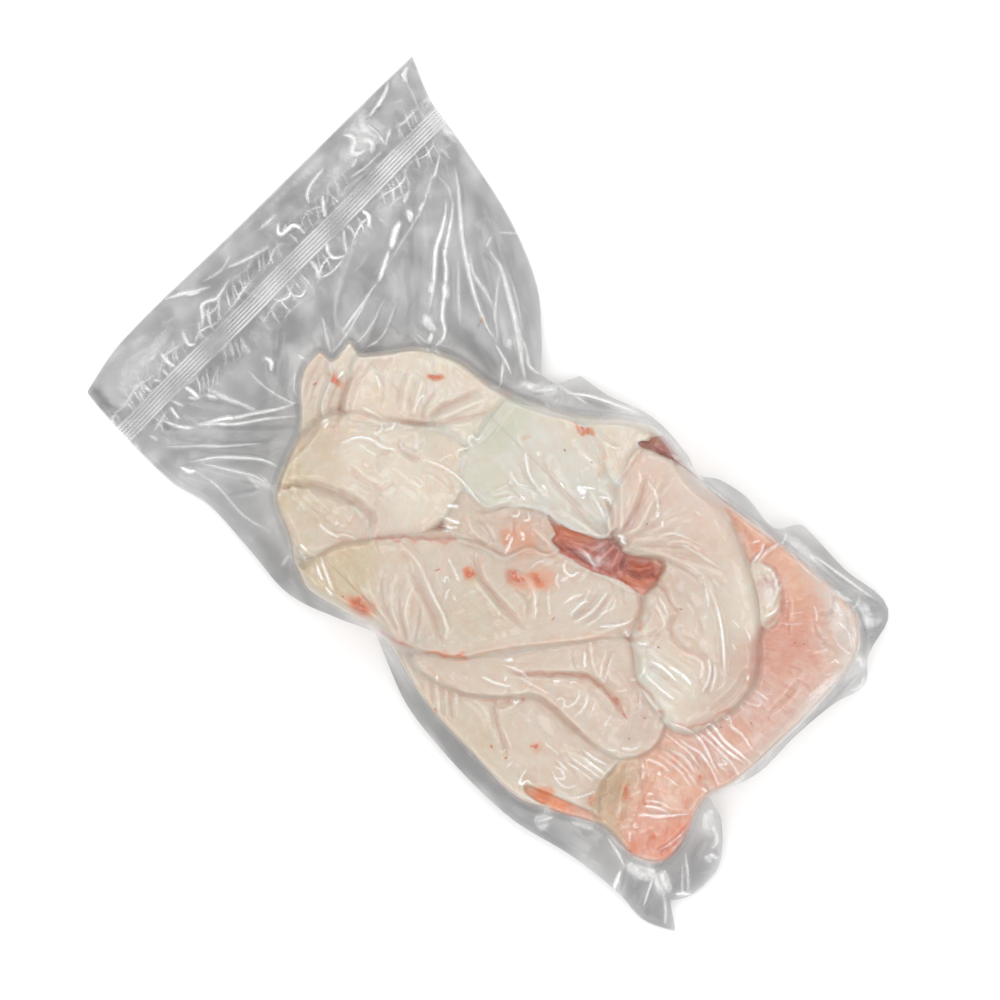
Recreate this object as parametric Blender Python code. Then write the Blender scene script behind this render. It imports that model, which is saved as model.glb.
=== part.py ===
"""Folded slabs of pork fatback drawn tight in a clear vacuum bag, lying on their flat underside.

X runs from the bag's sealed mouth to its bottom corners, Y across the bag and Z up. The sizes are
in millimetres until the mesh is made. The bag's two films lie together as a thin fin all round,
and part round the food, whose folded pieces stand up as rounded lobes.
"""

from collections import namedtuple

import bmesh
import bpy
import numpy as np

MM = 0.001                  # one millimetre in metres

# The bag, as it lies
HEADER_X = -221.0           # the mouth's edge, seen from above
HEADER_HALF = 127.0         # half the bag's width at the mouth
TAIL_X = 220.0              # tip of the flap at the bag's bottom corner
FIN_THICK = 2.4             # the two films together, with the air between them
FIN_RISE = 13.0             # height at which the films part round the food
FIN_FALL = 17.0             # distance in which the loose film sinks towards the table
FIN_SAG = 1.3               # power of that fall: higher leaves a flatter shoulder by the food
FIN_CLEAR = 0.8             # gap that stays under the loose film

# The food inside
HEAP_TOP = 66.0             # level that the heap's rounded side climbs to
HEAP_ROUND = 36.0           # width of the heap's rounded side
HEAP_BULGE = 3              # power of that side: higher stands steeper at the edge
SKIRT_SLOPE = 2.2           # fall of the film beside a lobe, per millimetre out from its rim
BASE_TOP = 22.0             # lowest level between the lobes
UNDER_ROUND = 13.0          # rounding between the flat underside and the side
UNDER_SINK = 0.6            # depth of the underside below the table plane before it is trimmed
SPREAD = 2.2                # how far a lobe's rim reaches past its drawn edge
BLEND = 0.9                 # softness of the creases between lobes
FOLD_FADE = 4               # power of a fold's fading: higher keeps it full nearer to its ends

# The mesh
GRID_STEP = 2.3             # spacing of the sheet's points
GRID_MARGIN = 6.0           # how far the sheet runs past the bag's edge
SOFTENING = 2               # rounds of smoothing that the taut film gets
CURVE_STEPS = 5             # points on each stretch of a smooth outline
KEEP_SHARE = 0.094          # share of the sheet's faces that are kept
TRIM_HEIGHT = 120.0         # height of the block that trims the bag's edge
WELD = 0.01                 # distance within which the block's caps join its wall
TINY = 1e-9                 # keeps a division off zero

FILM_COLOUR = (0.74, 0.60, 0.50, 1.0)
FILM_ROUGHNESS = 0.22

# A lobe is one rounded stretch of food: its highest level, how far its rim lies below that, the
# width of its rounded rim, how its top leans (rise per millimetre along X and Y) and its edge.
Lobe = namedtuple("Lobe", "name crest drop round lean edge")

# A fold is a long crease or ridge: its height (below zero for a groove), half width and path.
Fold = namedtuple("Fold", "name height width path")

BAG_EDGE = [
    (HEADER_X, HEADER_HALF), (-219, 126.5), (-197, 117.5), (-165, 112), (-120, 102), (-84, 87),
    (-60, 67), (-47.5, 54), (-46, 54), (-38, 56.5), (-32, 68), (-29, 69), (-14, 71.5), (12, 80.5),
    (40, 79.5), (52, 76), (62, 82), (80, 86), (102, 84.5), (110, 95), (114, 97), (146, 96), (178, 97.5),
    (188, 72), (198, 59), (193.5, 40), (191, 12), (191, -16), (183, -40), (181, -44), (195, -49),
    (212, -68), (213, -88), (208, -98), (206, -99.5), (TAIL_X, -109.5), (TAIL_X - 1, -111), (203, -118),
    (184, -117), (150, -121), (118, -129), (92, -131), (58, -130), (28, -126), (4, -117), (-11, -110.5),
    (-13, -110.5), (-30, -118.5), (-60, -129), (-92, -127), (-126, -125.5), (-148, -131), (-184, -131.5),
    (-215, -129.5), (-217, -128), (-223, -95), (-222, -10),
]

FOOD_EDGE = [
    (-136, -7), (-143, -24), (-139, -42), (-121, -60), (-113, -80), (-104, -97), (-84, -107),
    (-58, -120), (-36, -116), (-10, -109), (30, -118), (75, -120.5), (108, -120), (130, -109), (152, -98),
    (174, -98), (189, -88), (189, -72), (181, -48), (186, -28), (188, 0), (188, 45), (182, 72),
    (166, 84), (138, 85), (104, 81), (56, 75), (18, 78), (4, 71), (-14, 56), (-40, 40), (-62, 32),
    (-86, 28), (-106, 17), (-121, -4),
]

LOBES = [
    Lobe("left_flank", 29, 8, 12, (0, 0), [
        (-143, -25), (-132, -23), (-122, -40), (-100, -60), (-60, -75), (-28, -100), (-38, -117),
        (-60, -120), (-84, -106), (-105, -96), (-113, -78), (-122, -60), (-138, -43)]),
    Lobe("left_horn", 35, 10, 7, (0, 0), [
        (-136, -9), (-127, -6), (-121, -22), (-111, -46), (-119, -44), (-127, -28), (-135, -21)]),
    Lobe("left_dome", 46, 12, 24, (0.08, -0.04), [
        (-124, -9), (-117, 5), (-105, 17), (-88, 27), (-66, 31), (-50, 39), (-46, 20), (-46, 0),
        (-58, -3), (-70, -9), (-82, -19), (-94, -31), (-106, -36), (-117, -22)]),
    Lobe("left_slab", 49, 11, 22, (0.06, 0), [
        (-112, -46), (-104, -36), (-93, -30), (-80, -18), (-68, -8), (-50, -5), (-42, -15), (-28, -21),
        (-18, -30), (-21, -42), (-34, -58), (-48, -74), (-60, -68), (-84, -73), (-98, -84),
        (-108, -93), (-113, -76)]),
    Lobe("left_foot", 41, 11, 14, (0.05, 0), [
        (-108, -94), (-97, -83), (-84, -73), (-60, -68), (-48, -76), (-58, -96), (-72, -106), (-90, -102)]),
    Lobe("corner_slab", 56, 12, 16, (0.02, 0.02), [
        (-52, 33), (-34, 42), (-8, 53), (8, 49), (24, 46), (32, 34), (41, 18), (30, 8), (11, 3), (-2, -5),
        (-12, -18), (-28, -21), (-42, -15), (-49, 8)]),
    Lobe("corner_fold", 52, 10, 10, (0.05, -0.1), [
        (-22, 50), (-10, 60), (4, 70), (16, 80), (19.5, 67), (26, 43), (18, 38), (0, 46)]),
    Lobe("back_tip", 33, 9, 8, (0, 0), [
        (12, 79), (24, 80.5), (40, 78.5), (54, 74.5), (38, 67), (18, 62)]),
    Lobe("right_dome", 62, 17, 30, (0, 0.04), [
        (20, 62), (36, 71.5), (54, 74), (74, 70), (104, 58), (130, 41), (150, 19), (154, 0), (148, -24),
        (140, -6), (129, 8.5), (112, 5), (98, 15), (84, 19), (72, 29), (60, 22), (41, 17), (30, 34),
        (24, 46)]),
    Lobe("kidney_fold", 53, 10, 10, (0, 0), [
        (88, -17), (98, -7), (104, 3), (122, 8), (133, 4), (142, -11), (147, -23), (132, -30), (108, -27.5)]),
    Lobe("small_roll", 50, 8, 8, (0, 0), [
        (76, 11), (81, 18), (96, 15), (101, 2), (95, -8), (87, -14), (84, 0)]),
    Lobe("front_roll", 56, 15, 30, (0, -0.04), [
        (-62, -106), (-58, -90), (-48, -76), (-34, -58), (-21, -42), (-6, -37), (8, -32), (14, -20),
        (26, -9), (48, -1), (62, 6), (78, 9), (85, 0), (86, -14), (70, -35), (50, -61), (30, -86),
        (8, -102), (-12, -110), (-36, -117), (-58, -121)]),
    Lobe("inner_tongue", 50, 9, 10, (0, 0), [
        (-20, -38), (-6, -36), (8, -31), (14, -20), (26, -9), (20, 0), (8, 3), (-4, -6), (-13, -19),
        (-22, -26)]),
    Lobe("finger_sheet", 49, 11, 14, (0, 0), [
        (10, -101.5), (30, -86), (50, -61), (70, -34), (88, -17), (104, -26), (130, -31), (139, -47),
        (130, -63), (104, -69), (76, -71), (58, -87), (38, -101)]),
    Lobe("lower_slab", 38, 10, 16, (0.02, 0), [
        (-6, -112), (14, -103), (42, -98), (62, -85), (78, -72), (104, -68), (131, -64), (134, -80),
        (140, -95), (122, -106), (124, -117), (96, -121.5), (56, -120.5), (16, -117)]),
    Lobe("lean_strip", 28, 6, 6, (0, 0), [
        (102, -112), (120, -103), (140, -95.5), (150, -99), (130, -109), (110, -115)]),
    Lobe("corner_roll", 44, 13, 22, (0, 0), [
        (138, -44), (132, -66), (134, -84), (148, -98), (172, -98), (187, -92), (192, -76), (184, -58),
        (180, -42), (158, -36)]),
    Lobe("lean_slab", 36, 10, 14, (-0.03, 0), [
        (40, 76), (66, 79), (104, 81), (140, 85), (168, 83), (184, 72), (190, 52), (190, 2), (188, -28),
        (179, -46), (150, -46), (120, -20), (90, 20), (60, 60)]),
    Lobe("nub", 43, 8, 8, (0, 0), [(106, 63), (114, 69), (124, 66), (134, 50), (130, 42), (117, 55)]),
    Lobe("lean_pocket", 37, 5, 8, (0, 0), [
        (10, 4), (28, 7), (44, 20), (62, 27), (79, 29), (80, 12), (52, 0), (24, -9)]),
]

FOLDS = [
    Fold("finger_groove", -10, 3.5, [(54, -74), (66, -63), (82, -49), (100, -43), (124, -47)]),
    Fold("front_crease", -3, 6, [(-6, -40), (18, -50), (48, -50)]),
    Fold("front_ridge", 3, 7, [(-34, -66), (-8, -73), (24, -86)]),
    Fold("lower_groove", -4, 5, [(56, -86), (70, -98), (92, -106)]),
    Fold("dome_pucker", -9, 9, [(40, 10), (45, 18), (54, 34)]),
    Fold("left_pleat", 3, 5, [(-100, -54), (-85, -37), (-70, -30)]),
    Fold("dome_pleat", 2.5, 6, [(88, 46), (122, 34), (140, 8)]),
]

HEADER_FOLDS = [
    Fold("long_puff", 5, 9, [(-174, 96), (-140, 62), (-98, 20)]),
    Fold("mouth_puff", 4, 8, [(-208, 90), (-205, 48), (-212, 2)]),
    Fold("upper_pleat", 4, 6, [(-130, 92), (-90, 68), (-48, 42)]),
    Fold("middle_puff", 3, 9, [(-176, 48), (-158, 8), (-136, -28)]),
    Fold("lower_puff", 5, 9, [(-114, -62), (-146, -88), (-176, -110)]),
    Fold("lower_pleat", 3, 6, [(-108, -92), (-132, -106), (-156, -121)]),
    Fold("tail_pleat", 4, 5, [(168, -98), (178, -109), (188, -120)]),
    Fold("corner_pleat", 4, 5, [(124, 89), (152, 91), (178, 95)]),
]


def smooth_curve(points, closed=True, steps=CURVE_STEPS):
    """A smooth curve through the points, with a tight turn where two points are close."""
    knots = np.array(points, dtype=float)
    last, following = np.roll(knots, 1, axis=0), np.roll(knots, -1, axis=0)
    if not closed:
        last[0], following[-1] = knots[0], knots[-1]
    heading = following - last
    heading /= np.linalg.norm(heading, axis=1)[:, None]
    span = np.linalg.norm(following - knots, axis=1)[:, None]
    leave = heading * span
    arrive = np.roll(heading, -1, axis=0) * span
    stretches = []
    for share in np.arange(steps) / steps:
        square, cube = share ** 2, share ** 3
        stretches.append((2 * cube - 3 * square + 1) * knots + (cube - 2 * square + share) * leave
                         + (3 * square - 2 * cube) * following + (cube - square) * arrive)
    curve = np.stack(stretches, axis=1).reshape(-1, 2)
    return curve if closed else curve[:len(curve) - steps + 1]


def nearest_on_path(x, y, path):
    """Distance from each place to a chain of points, and the share of the chain passed there."""
    nearest = np.full(x.shape, np.inf)
    passed = np.zeros(x.shape)
    for index, (start, end) in enumerate(zip(path[:-1], path[1:])):
        run = end - start
        along = ((x - start[0]) * run[0] + (y - start[1]) * run[1]) / max(run @ run, TINY)
        along = np.clip(along, 0, 1)
        gap = np.hypot(x - start[0] - along * run[0], y - start[1] - along * run[1])
        passed = np.where(gap < nearest, (index + along) / (len(path) - 1), passed)
        nearest = np.minimum(nearest, gap)
    return nearest, passed


def depth_inside(x, y, loop):
    """Distance from a closed loop, above zero inside it and below zero outside."""
    closed = np.vstack([loop, loop[:1]])
    inside = np.zeros(x.shape, dtype=bool)
    for (ax, ay), (bx, by) in zip(closed[:-1], closed[1:]):
        spans = (ay > y) != (by > y)
        rise = by - ay if by != ay else TINY
        inside ^= spans & (x < ax + (y - ay) * (bx - ax) / rise)
    return np.where(inside, 1, -1) * nearest_on_path(x, y, closed)[0]


def rounded_rim(depth, width):
    """Quarter ellipse from 0 at an edge to 1 at the given depth inside it."""
    share = np.clip(depth / width, 0, 1)
    return np.sqrt(1 - (1 - share) ** 2)


def bulging_side(depth, width):
    """Rise from 0 at the heap's edge to 1 at the given depth, steepest at the edge."""
    return 1 - (1 - np.clip(depth / width, 0, 1)) ** HEAP_BULGE


def soft_max(low, high, blend=BLEND):
    """The higher of two levels, with their meeting line rounded."""
    return np.maximum(low, high) + blend * np.log1p(np.exp(-np.abs(low - high) / blend))


def fold_relief(x, y, folds):
    """Sum of the ridges and grooves along the folds' paths, each fading out at its ends."""
    relief = np.zeros(x.shape)
    for fold in folds:
        gap, passed = nearest_on_path(x, y, smooth_curve(fold.path, closed=False))
        fading = 1 - (2 * passed - 1) ** FOLD_FADE
        relief += fold.height * fading * np.exp(-(gap / fold.width) ** 2)
    return relief


def fin_floor(x, y, food_depth):
    """Underside of the two films that lie together round the food."""
    away = np.maximum(-food_depth, 0)
    sink = FIN_RISE * np.exp(-(away / FIN_FALL) ** FIN_SAG)
    waves = fold_relief(x, y, HEADER_FOLDS) * rounded_rim(away, FIN_FALL)
    return FIN_CLEAR + sink + np.maximum(waves, 0)


def heap_top(x, y, food_depth):
    """Top of the food: the highest of its lobes at each place, within the heap's rounded side."""
    top = np.full(x.shape, BASE_TOP)
    for lobe in LOBES:
        depth = depth_inside(x, y, smooth_curve(lobe.edge)) + SPREAD
        middle = np.mean(lobe.edge, axis=0)
        lean = lobe.lean[0] * (x - middle[0]) + lobe.lean[1] * (y - middle[1])
        level = lobe.crest + lean - lobe.drop * (1 - rounded_rim(depth, lobe.round))
        top = soft_max(top, level + SKIRT_SLOPE * np.minimum(depth, 0))
    top = top + fold_relief(x, y, FOLDS)
    side = FIN_RISE + (HEAP_TOP - FIN_RISE) * bulging_side(food_depth, HEAP_ROUND)
    return -soft_max(-top, -side)


def pack_top(x, y):
    """Upper face of the pack: the food's top, or the upper film where there is no food."""
    food_depth = depth_inside(x, y, smooth_curve(FOOD_EDGE))
    fin = fin_floor(x, y, food_depth) + FIN_THICK
    return np.where(food_depth > 0, np.maximum(heap_top(x, y, food_depth), fin), fin)


def pack_under(x, y):
    """Lower face of the pack: flat under the food, rounded up to the lower film beside it."""
    food_depth = depth_inside(x, y, smooth_curve(FOOD_EDGE))
    climb = FIN_CLEAR + FIN_RISE + UNDER_SINK
    belly = climb * (1 - rounded_rim(food_depth, UNDER_ROUND)) - UNDER_SINK
    return np.where(food_depth > 0, belly, fin_floor(x, y, food_depth))


def plan_middle():
    """Middle of the bag's edge in plan, which becomes the part's origin."""
    loop = smooth_curve(BAG_EDGE)
    return (loop.min(axis=0) + loop.max(axis=0)) / 2


def add_mesh_object(name, mesh_builder, collection):
    """A new object in a collection, from a mesh under construction."""
    mesh = bpy.data.meshes.new(name)
    mesh_builder.to_mesh(mesh)
    mesh_builder.free()
    thing = bpy.data.objects.new(name, mesh)
    collection.objects.link(thing)
    return thing


def add_sheet_block(collection):
    """A rectangular block whose top and underside follow the pack's levels."""
    loop = smooth_curve(BAG_EDGE)
    low = loop.min(axis=0) - GRID_MARGIN
    high = loop.max(axis=0) + GRID_MARGIN
    middle = (low + high) / 2
    cells = np.ceil((high - low) / GRID_STEP).astype(int)

    builder = bmesh.new()
    bmesh.ops.create_grid(builder, x_segments=int(cells[0]), y_segments=int(cells[1]), size=1)
    upper = list(builder.verts)
    grown = bmesh.ops.extrude_face_region(builder, geom=list(builder.faces))["geom"]
    lower = [item for item in grown if isinstance(item, bmesh.types.BMVert)]
    origin = plan_middle()
    for verts, level_at in ((upper, pack_top), (lower, pack_under)):
        x = np.array([vert.co.x for vert in verts]) * (high[0] - low[0]) / 2 + middle[0]
        y = np.array([vert.co.y for vert in verts]) * (high[1] - low[1]) / 2 + middle[1]
        places = np.column_stack([x - origin[0], y - origin[1], level_at(x, y)]) * MM
        for vert, place in zip(verts, places):
            vert.co = place
    bmesh.ops.recalc_face_normals(builder, faces=builder.faces)
    return add_mesh_object("vacuum_pack", builder, collection)


def add_edge_block(collection):
    """A block with the bag's outline, standing on the table plane."""
    outline = bpy.data.curves.new("bag_outline", "CURVE")
    outline.dimensions = "2D"
    outline.fill_mode = "BOTH"
    outline.extrude = TRIM_HEIGHT / 2 * MM
    loop = (smooth_curve(BAG_EDGE) - plan_middle()) * MM
    spline = outline.splines.new("POLY")
    spline.points.add(len(loop) - 1)
    for point, (east, north) in zip(spline.points, loop):
        point.co = (east, north, 0, 1)
    spline.use_cyclic_u = True

    guide = bpy.data.objects.new("bag_outline", outline)
    guide.location.z = TRIM_HEIGHT / 2 * MM
    collection.objects.link(guide)
    bpy.context.view_layer.update()
    evaluated = guide.evaluated_get(bpy.context.evaluated_depsgraph_get())
    builder = bmesh.new()
    builder.from_mesh(bpy.data.meshes.new_from_object(evaluated))
    bmesh.ops.transform(builder, matrix=guide.matrix_world, verts=builder.verts)
    bmesh.ops.remove_doubles(builder, verts=builder.verts, dist=WELD * MM)
    bmesh.ops.recalc_face_normals(builder, faces=builder.faces)
    bpy.data.objects.remove(guide)

    block = add_mesh_object("bag_edge_block", builder, collection)
    block.display_type = "WIRE"
    block.hide_render = True
    return block


def film_material():
    """Clear film over pale fat, given as one surface."""
    material = bpy.data.materials.new("film_over_fat")
    material.use_nodes = True
    shader = material.node_tree.nodes["Principled BSDF"]
    shader.inputs["Base Color"].default_value = FILM_COLOUR
    shader.inputs["Roughness"].default_value = FILM_ROUGHNESS
    shader.inputs["Metallic"].default_value = 0.0
    return material


def clear_scene():
    """Takes away whatever the scene holds."""
    for thing in list(bpy.data.objects):
        bpy.data.objects.remove(thing, do_unlink=True)


def add_collection(name):
    """A new collection in the scene."""
    collection = bpy.data.collections.new(name)
    bpy.context.scene.collection.children.link(collection)
    return collection


def main():
    """Makes the pack: a soft sheet block, thinned out and trimmed to the bag's edge."""
    clear_scene()
    parts = add_collection("pork_fatback_pack")
    cutters = add_collection("cutters")

    pack = add_sheet_block(parts)
    pack.data.materials.append(film_material())

    softening = pack.modifiers.new("taut_film", "SMOOTH")
    softening.iterations = SOFTENING

    thinning = pack.modifiers.new("fewer_faces", "DECIMATE")
    thinning.ratio = KEEP_SHARE

    trim = pack.modifiers.new("bag_edge", "BOOLEAN")
    trim.operation = "INTERSECT"
    trim.solver = "EXACT"
    trim.object = add_edge_block(cutters)

    pack.data.shade_smooth()


main()
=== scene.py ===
"""A clear vacuum pouch drawn tight round folded slabs of pork fatback, seen from straight above.

The lengths below are millimetres in the plan that the pouch's edge is drawn in; meshes are metres.
Each stretch of food is its own piece. The pouch is two sheets of film that follow the food's
relief, lie together as fins round it, and carry their own folds and wrinkles.
"""

import math
from collections import namedtuple

import bpy
import numpy as np
from bpy.props import FloatProperty, FloatVectorProperty, PointerProperty
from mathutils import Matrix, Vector


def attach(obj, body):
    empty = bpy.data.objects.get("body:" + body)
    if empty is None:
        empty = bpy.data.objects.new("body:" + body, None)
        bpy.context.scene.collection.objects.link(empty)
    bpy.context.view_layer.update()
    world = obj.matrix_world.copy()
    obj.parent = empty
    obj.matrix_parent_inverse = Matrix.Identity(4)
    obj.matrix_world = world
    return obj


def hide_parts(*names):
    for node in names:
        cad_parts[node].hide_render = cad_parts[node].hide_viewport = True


bl_info = {
    "name": "Vacuum-packed pork fatback",
    "version": (1, 0, 0),
    "blender": (4, 5, 0),
    "location": "3D View > Sidebar > Fatback",
    "description": "Makes folded pork fatback in a clear vacuum pouch round its packed solid",
    "category": "Add Mesh",
}

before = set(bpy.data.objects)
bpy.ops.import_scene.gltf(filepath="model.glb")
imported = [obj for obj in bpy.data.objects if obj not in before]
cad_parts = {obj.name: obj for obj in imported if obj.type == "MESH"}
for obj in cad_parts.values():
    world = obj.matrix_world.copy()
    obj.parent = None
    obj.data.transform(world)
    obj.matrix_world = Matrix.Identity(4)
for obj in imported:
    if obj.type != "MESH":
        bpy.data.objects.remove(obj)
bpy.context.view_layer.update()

MM = 0.001
NODE = "vacuum_pack"
BODY = "root"

# ---------------------------------------------------------------- sizes, in millimetres
FIN_RISE = 13.0             # height at which the films part round the food
FIN_FALL = 26.0             # distance in which the loose film sinks towards the table
FIN_SAG = 1.3               # power of that fall
FIN_CLEAR = 0.8             # gap under the loose film
HEAP_TOP = 66.0             # level that the heap's rounded side climbs to
HEAP_ROUND = 18.0           # width of that side
HEAP_BULGE = 2.6            # power of that side
BASE_TOP = 22.0             # lowest level between the lobes
UNDER_ROUND = 13.0          # rounding between the flat underside and the side
SPREAD = 1.4                # how far a lobe's rim reaches past its drawn edge
EASE = 0.22                 # how much of a lobe's drop and rounding is drawn at its rim
SKIRT = 4.4                 # how far a lobe's hidden skirt reaches past its rim
SKIRT_SLOPE = 2.6           # fall of that skirt for each millimetre
TABLE_GAP = 0.35            # film bottom above the table under the food
FILM_GAP = 0.45             # film above the food's top
SOFT = 2.6                  # how softly one lobe's top runs into the next
SINK_EASE = 0.15            # how far a lobe sinks for each millimetre that another stands above it
SINK_FREE = 2.5             # from this much on it sinks faster
SINK_FAST = 0.85            # and this is by how much
LEAN_THICK = 14.0           # thickness of a piece of bare lean
FOOD_INSET = 0.15           # gap between the food's edge and the pieces in it
CURVE_STEPS = 5             # points of a smooth curve for each drawn point
FOLD_FADE = 4               # power with which a fold fades out towards its ends
FLAP_FADE = 6               # the same for a sheet's edge
TINY = 1e-9

FOOD_STEP = 0.85            # spacing of the food's points
FILM_STEP = 0.66            # spacing of the upper film's points over the food
LOOSE_STEP = 0.60           # spacing of the loose film's points
UNDER_STEP = 1.3            # spacing of the lower film's points
MAP_STEP = 0.5              # spacing of the level maps
MAP_LOW = (-232.0, -140.0)
MAP_HIGH = (229.0, 136.0)

# What a row of each table below holds.
Lobe = namedtuple("Lobe", "name finish crest drop round lean_x lean_y edge")
Fold = namedtuple("Fold", "height width path")
Stain = namedtuple("Stain", "colour strength turn place size")
Patch = namedtuple("Patch", "strength turn place size")
Fan = namedtuple("Fan", "reach place")
Run = namedtuple("Run", "angle reach place")
Mark = namedtuple("Mark", "turn place size")
Flap = namedtuple("Flap", "height width groove path")
Pit = namedtuple("Pit", "depth edge")
Crease = namedtuple("Crease", "colour strength width path")
Streak = namedtuple("Streak", "strength width path")


def read_points(text):
    """The points in a text, each written as x,y."""
    return [tuple(float(part) for part in word.split(",")) for word in text.split() if "," in word]


def read_rows(kind, text):
    """Named tuples from rows of names and numbers and then points: a path, or a place and a size."""
    table = []
    for row in text.replace("\n", ";").split(";"):
        words = [word for word in row.split() if "," not in word]
        if not words or words[0] == "#":
            continue
        values = [word if word.replace("_", "").isalpha() else float(word) for word in words]
        path = read_points(row)
        table.append(kind(*values, *path) if "place" in kind._fields else kind(*values, path))
    return table


def read_tones(text):
    """For each group of pieces, its tones and their places, from rows that start with its name."""
    table = {}
    for row in text.strip().splitlines():
        group, *names = [word for word in row.split() if "," not in word]
        table[group] = list(zip(read_points(row), names))
    return table


# The pouch's edge in plan, and the edge of the food in it.
BAG_EDGE = read_points("""
    -221,127 -219,126.5 -197,117.5 -165,112 -120,102 -84,87 -60,67 -47.5,54 -46,54 -38,56.5 -32,68 -29,69
    -14,71.5 12,80.5 40,79.5 52,76 62,82 80,86 102,84.5 110,95 114,97 146,96 178,97.5 188,72 198,59 193.5,40
    191,12 191,-16 183,-40 181,-44 195,-49 212,-68 213,-88 208,-98 206,-99.5 220,-109.5 219,-111 203,-118
    184,-117 150,-121 118,-129 92,-131 58,-130 28,-126 4,-117 -11,-110.5 -13,-110.5 -30,-118.5 -60,-129
    -92,-127 -126,-125.5 -148,-131 -184,-131.5 -215,-129.5 -217,-128 -223,-95 -222,-10
""")

FOOD_EDGE = read_points("""
    -125,-7 -127,-8 -133,-6.5 -135,-7.5 -134,-14 -134,-20.5 -136,-21.5 -141,-22 -142.8,-24 -142,-34 -137,-44
    -121,-60 -113,-80 -104,-97 -84,-107 -58,-120 -36,-116 -10,-109 30,-118 75,-120.5 108,-120 130,-109
    152,-98 174,-98 189,-88 189,-72 181,-48 186,-28 188,0 188,45 182,72 166,84 138,85 104,81 56,75 18,78
    4,71 -14,56 -40,40 -62,32 -86,28 -106,17 -117,3
""")

# The stretches of food, each with its look, its highest level, its rim's drop and roundness,
# its lean, and its edge.
LOBES = read_rows(Lobe, """
    left_flank left 40 7 12 0 0  -143,-25 -132,-23 -122,-40 -100,-60 -60,-75 -28,-100 -38,-117 -60,-120 \
        -84,-106 -105,-96 -113,-78 -122,-60 -138,-43
    left_horn left 41 8 7 0 0  -136,-9 -127,-6 -121,-22 -111,-46 -119,-44 -127,-28 -135,-21
    left_dome left 52 16 40 .08 -.04  -124,-9 -117,5 -105,17 -88,27 -66,31 -50,39 -46,20 -46,0 -58,-3 \
        -70,-9 -82,-19 -94,-31 -106,-36 -117,-22
    left_slab left 53 15 40 .06 0  -112,-46 -104,-36 -93,-30 -80,-18 -68,-8 -50,-5 -42,-15 -36,-20 -33,-28 \
        -31,-42 -36,-58 -48,-74 -60,-68 -84,-73 -98,-84 -108,-93 -113,-76
    left_foot left 51 5 14 .05 0  -108,-94 -97,-83 -84,-73 -60,-68 -48,-76 -58,-96 -72,-106 -90,-102
    corner_slab corner 55 12 30 .02 .02  -50,33 -40,38 -24,48 -4,51 12,47 25,42 33,34 41,18 30,9 14,4 2,0 \
        -10,-10 -17,-19 -28,-20 -42,-17 -46,-4 -50,14
    corner_fold corner 55 8 10 .05 -.1  -24,49 -12,60 4,71 15,81 19,66 21,54 25,42 12,44 -4,49
    back_tip dome 40 9 8 0 0  12,79 24,80.5 40,78.5 54,74.5 38,67 18,62
    right_dome dome 60 28 50 0 .04  20,62 36,71.5 54,74 74,70 104,58 130,41 150,19 154,0 149,-24 140,-31 \
        128,-31 110,-27 98,-18 90,-12 86,-2 80,9 78,19 72,29 60,22 41,17 30,34 24,46
    front_roll front 55.5 20 44 0 -.04  -62,-106 -58,-90 -48,-76 -34,-58 -21,-42 -6,-37 8,-32 14,-20 26,-9 \
        48,-1 62,6 78,9 85,0 86,-14 70,-35 50,-61 30,-86 8,-102 -12,-110 -36,-117 -58,-121
    inner_tongue front 53.5 6 10 0 0  -34,-24 -33,-36 -20,-41 -6,-36 8,-31 14,-20 26,-9 20,0 8,3 -4,-6 \
        -13,-18 -24,-20
    finger_sheet front 52.5 13 26 0 0  10,-101.5 30,-86 50,-61 70,-34 88,-17 104,-26 130,-31 139,-47 \
        130,-63 104,-69 76,-71 58,-87 38,-101
    lower_slab front 47.5 13 30 .02 0  -6,-112 14,-103 42,-98 62,-85 78,-72 104,-68 131,-64 134,-80 \
        140,-95 122,-106 124,-117 96,-121.5 56,-120.5 16,-117
    lean_strip red 46 5 6 0 0  102,-113 108,-108 120,-102 140,-94.5 151,-98 131,-110 110,-116
    corner_roll salmon 50 18 40 0 0  138,-44 132,-66 134,-84 148,-98 172,-98 187,-92 192,-76 184,-58 \
        180,-42 158,-36
    lean_slab salmon 50 20 60 -.03 0  40,76 66,79 104,81 140,85 168,83 184,72 190,52 190,2 188,-28 182,-56 \
        152,-62 120,-20 90,20 60,60
    nub dome 51.5 5 8 0 0  108,61 116,66 124,64 132,57 137,49 135,43 126,50 116,56
    back_lean red 53 4 6 0 .1  14,66 30,67 42,70 56,76 40,76 26,73
    lean_pocket red 52 4 8 0 0  10,4 28,7 44,20 62,27 79,29 80,12 52,0 24,-9
""")

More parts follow.
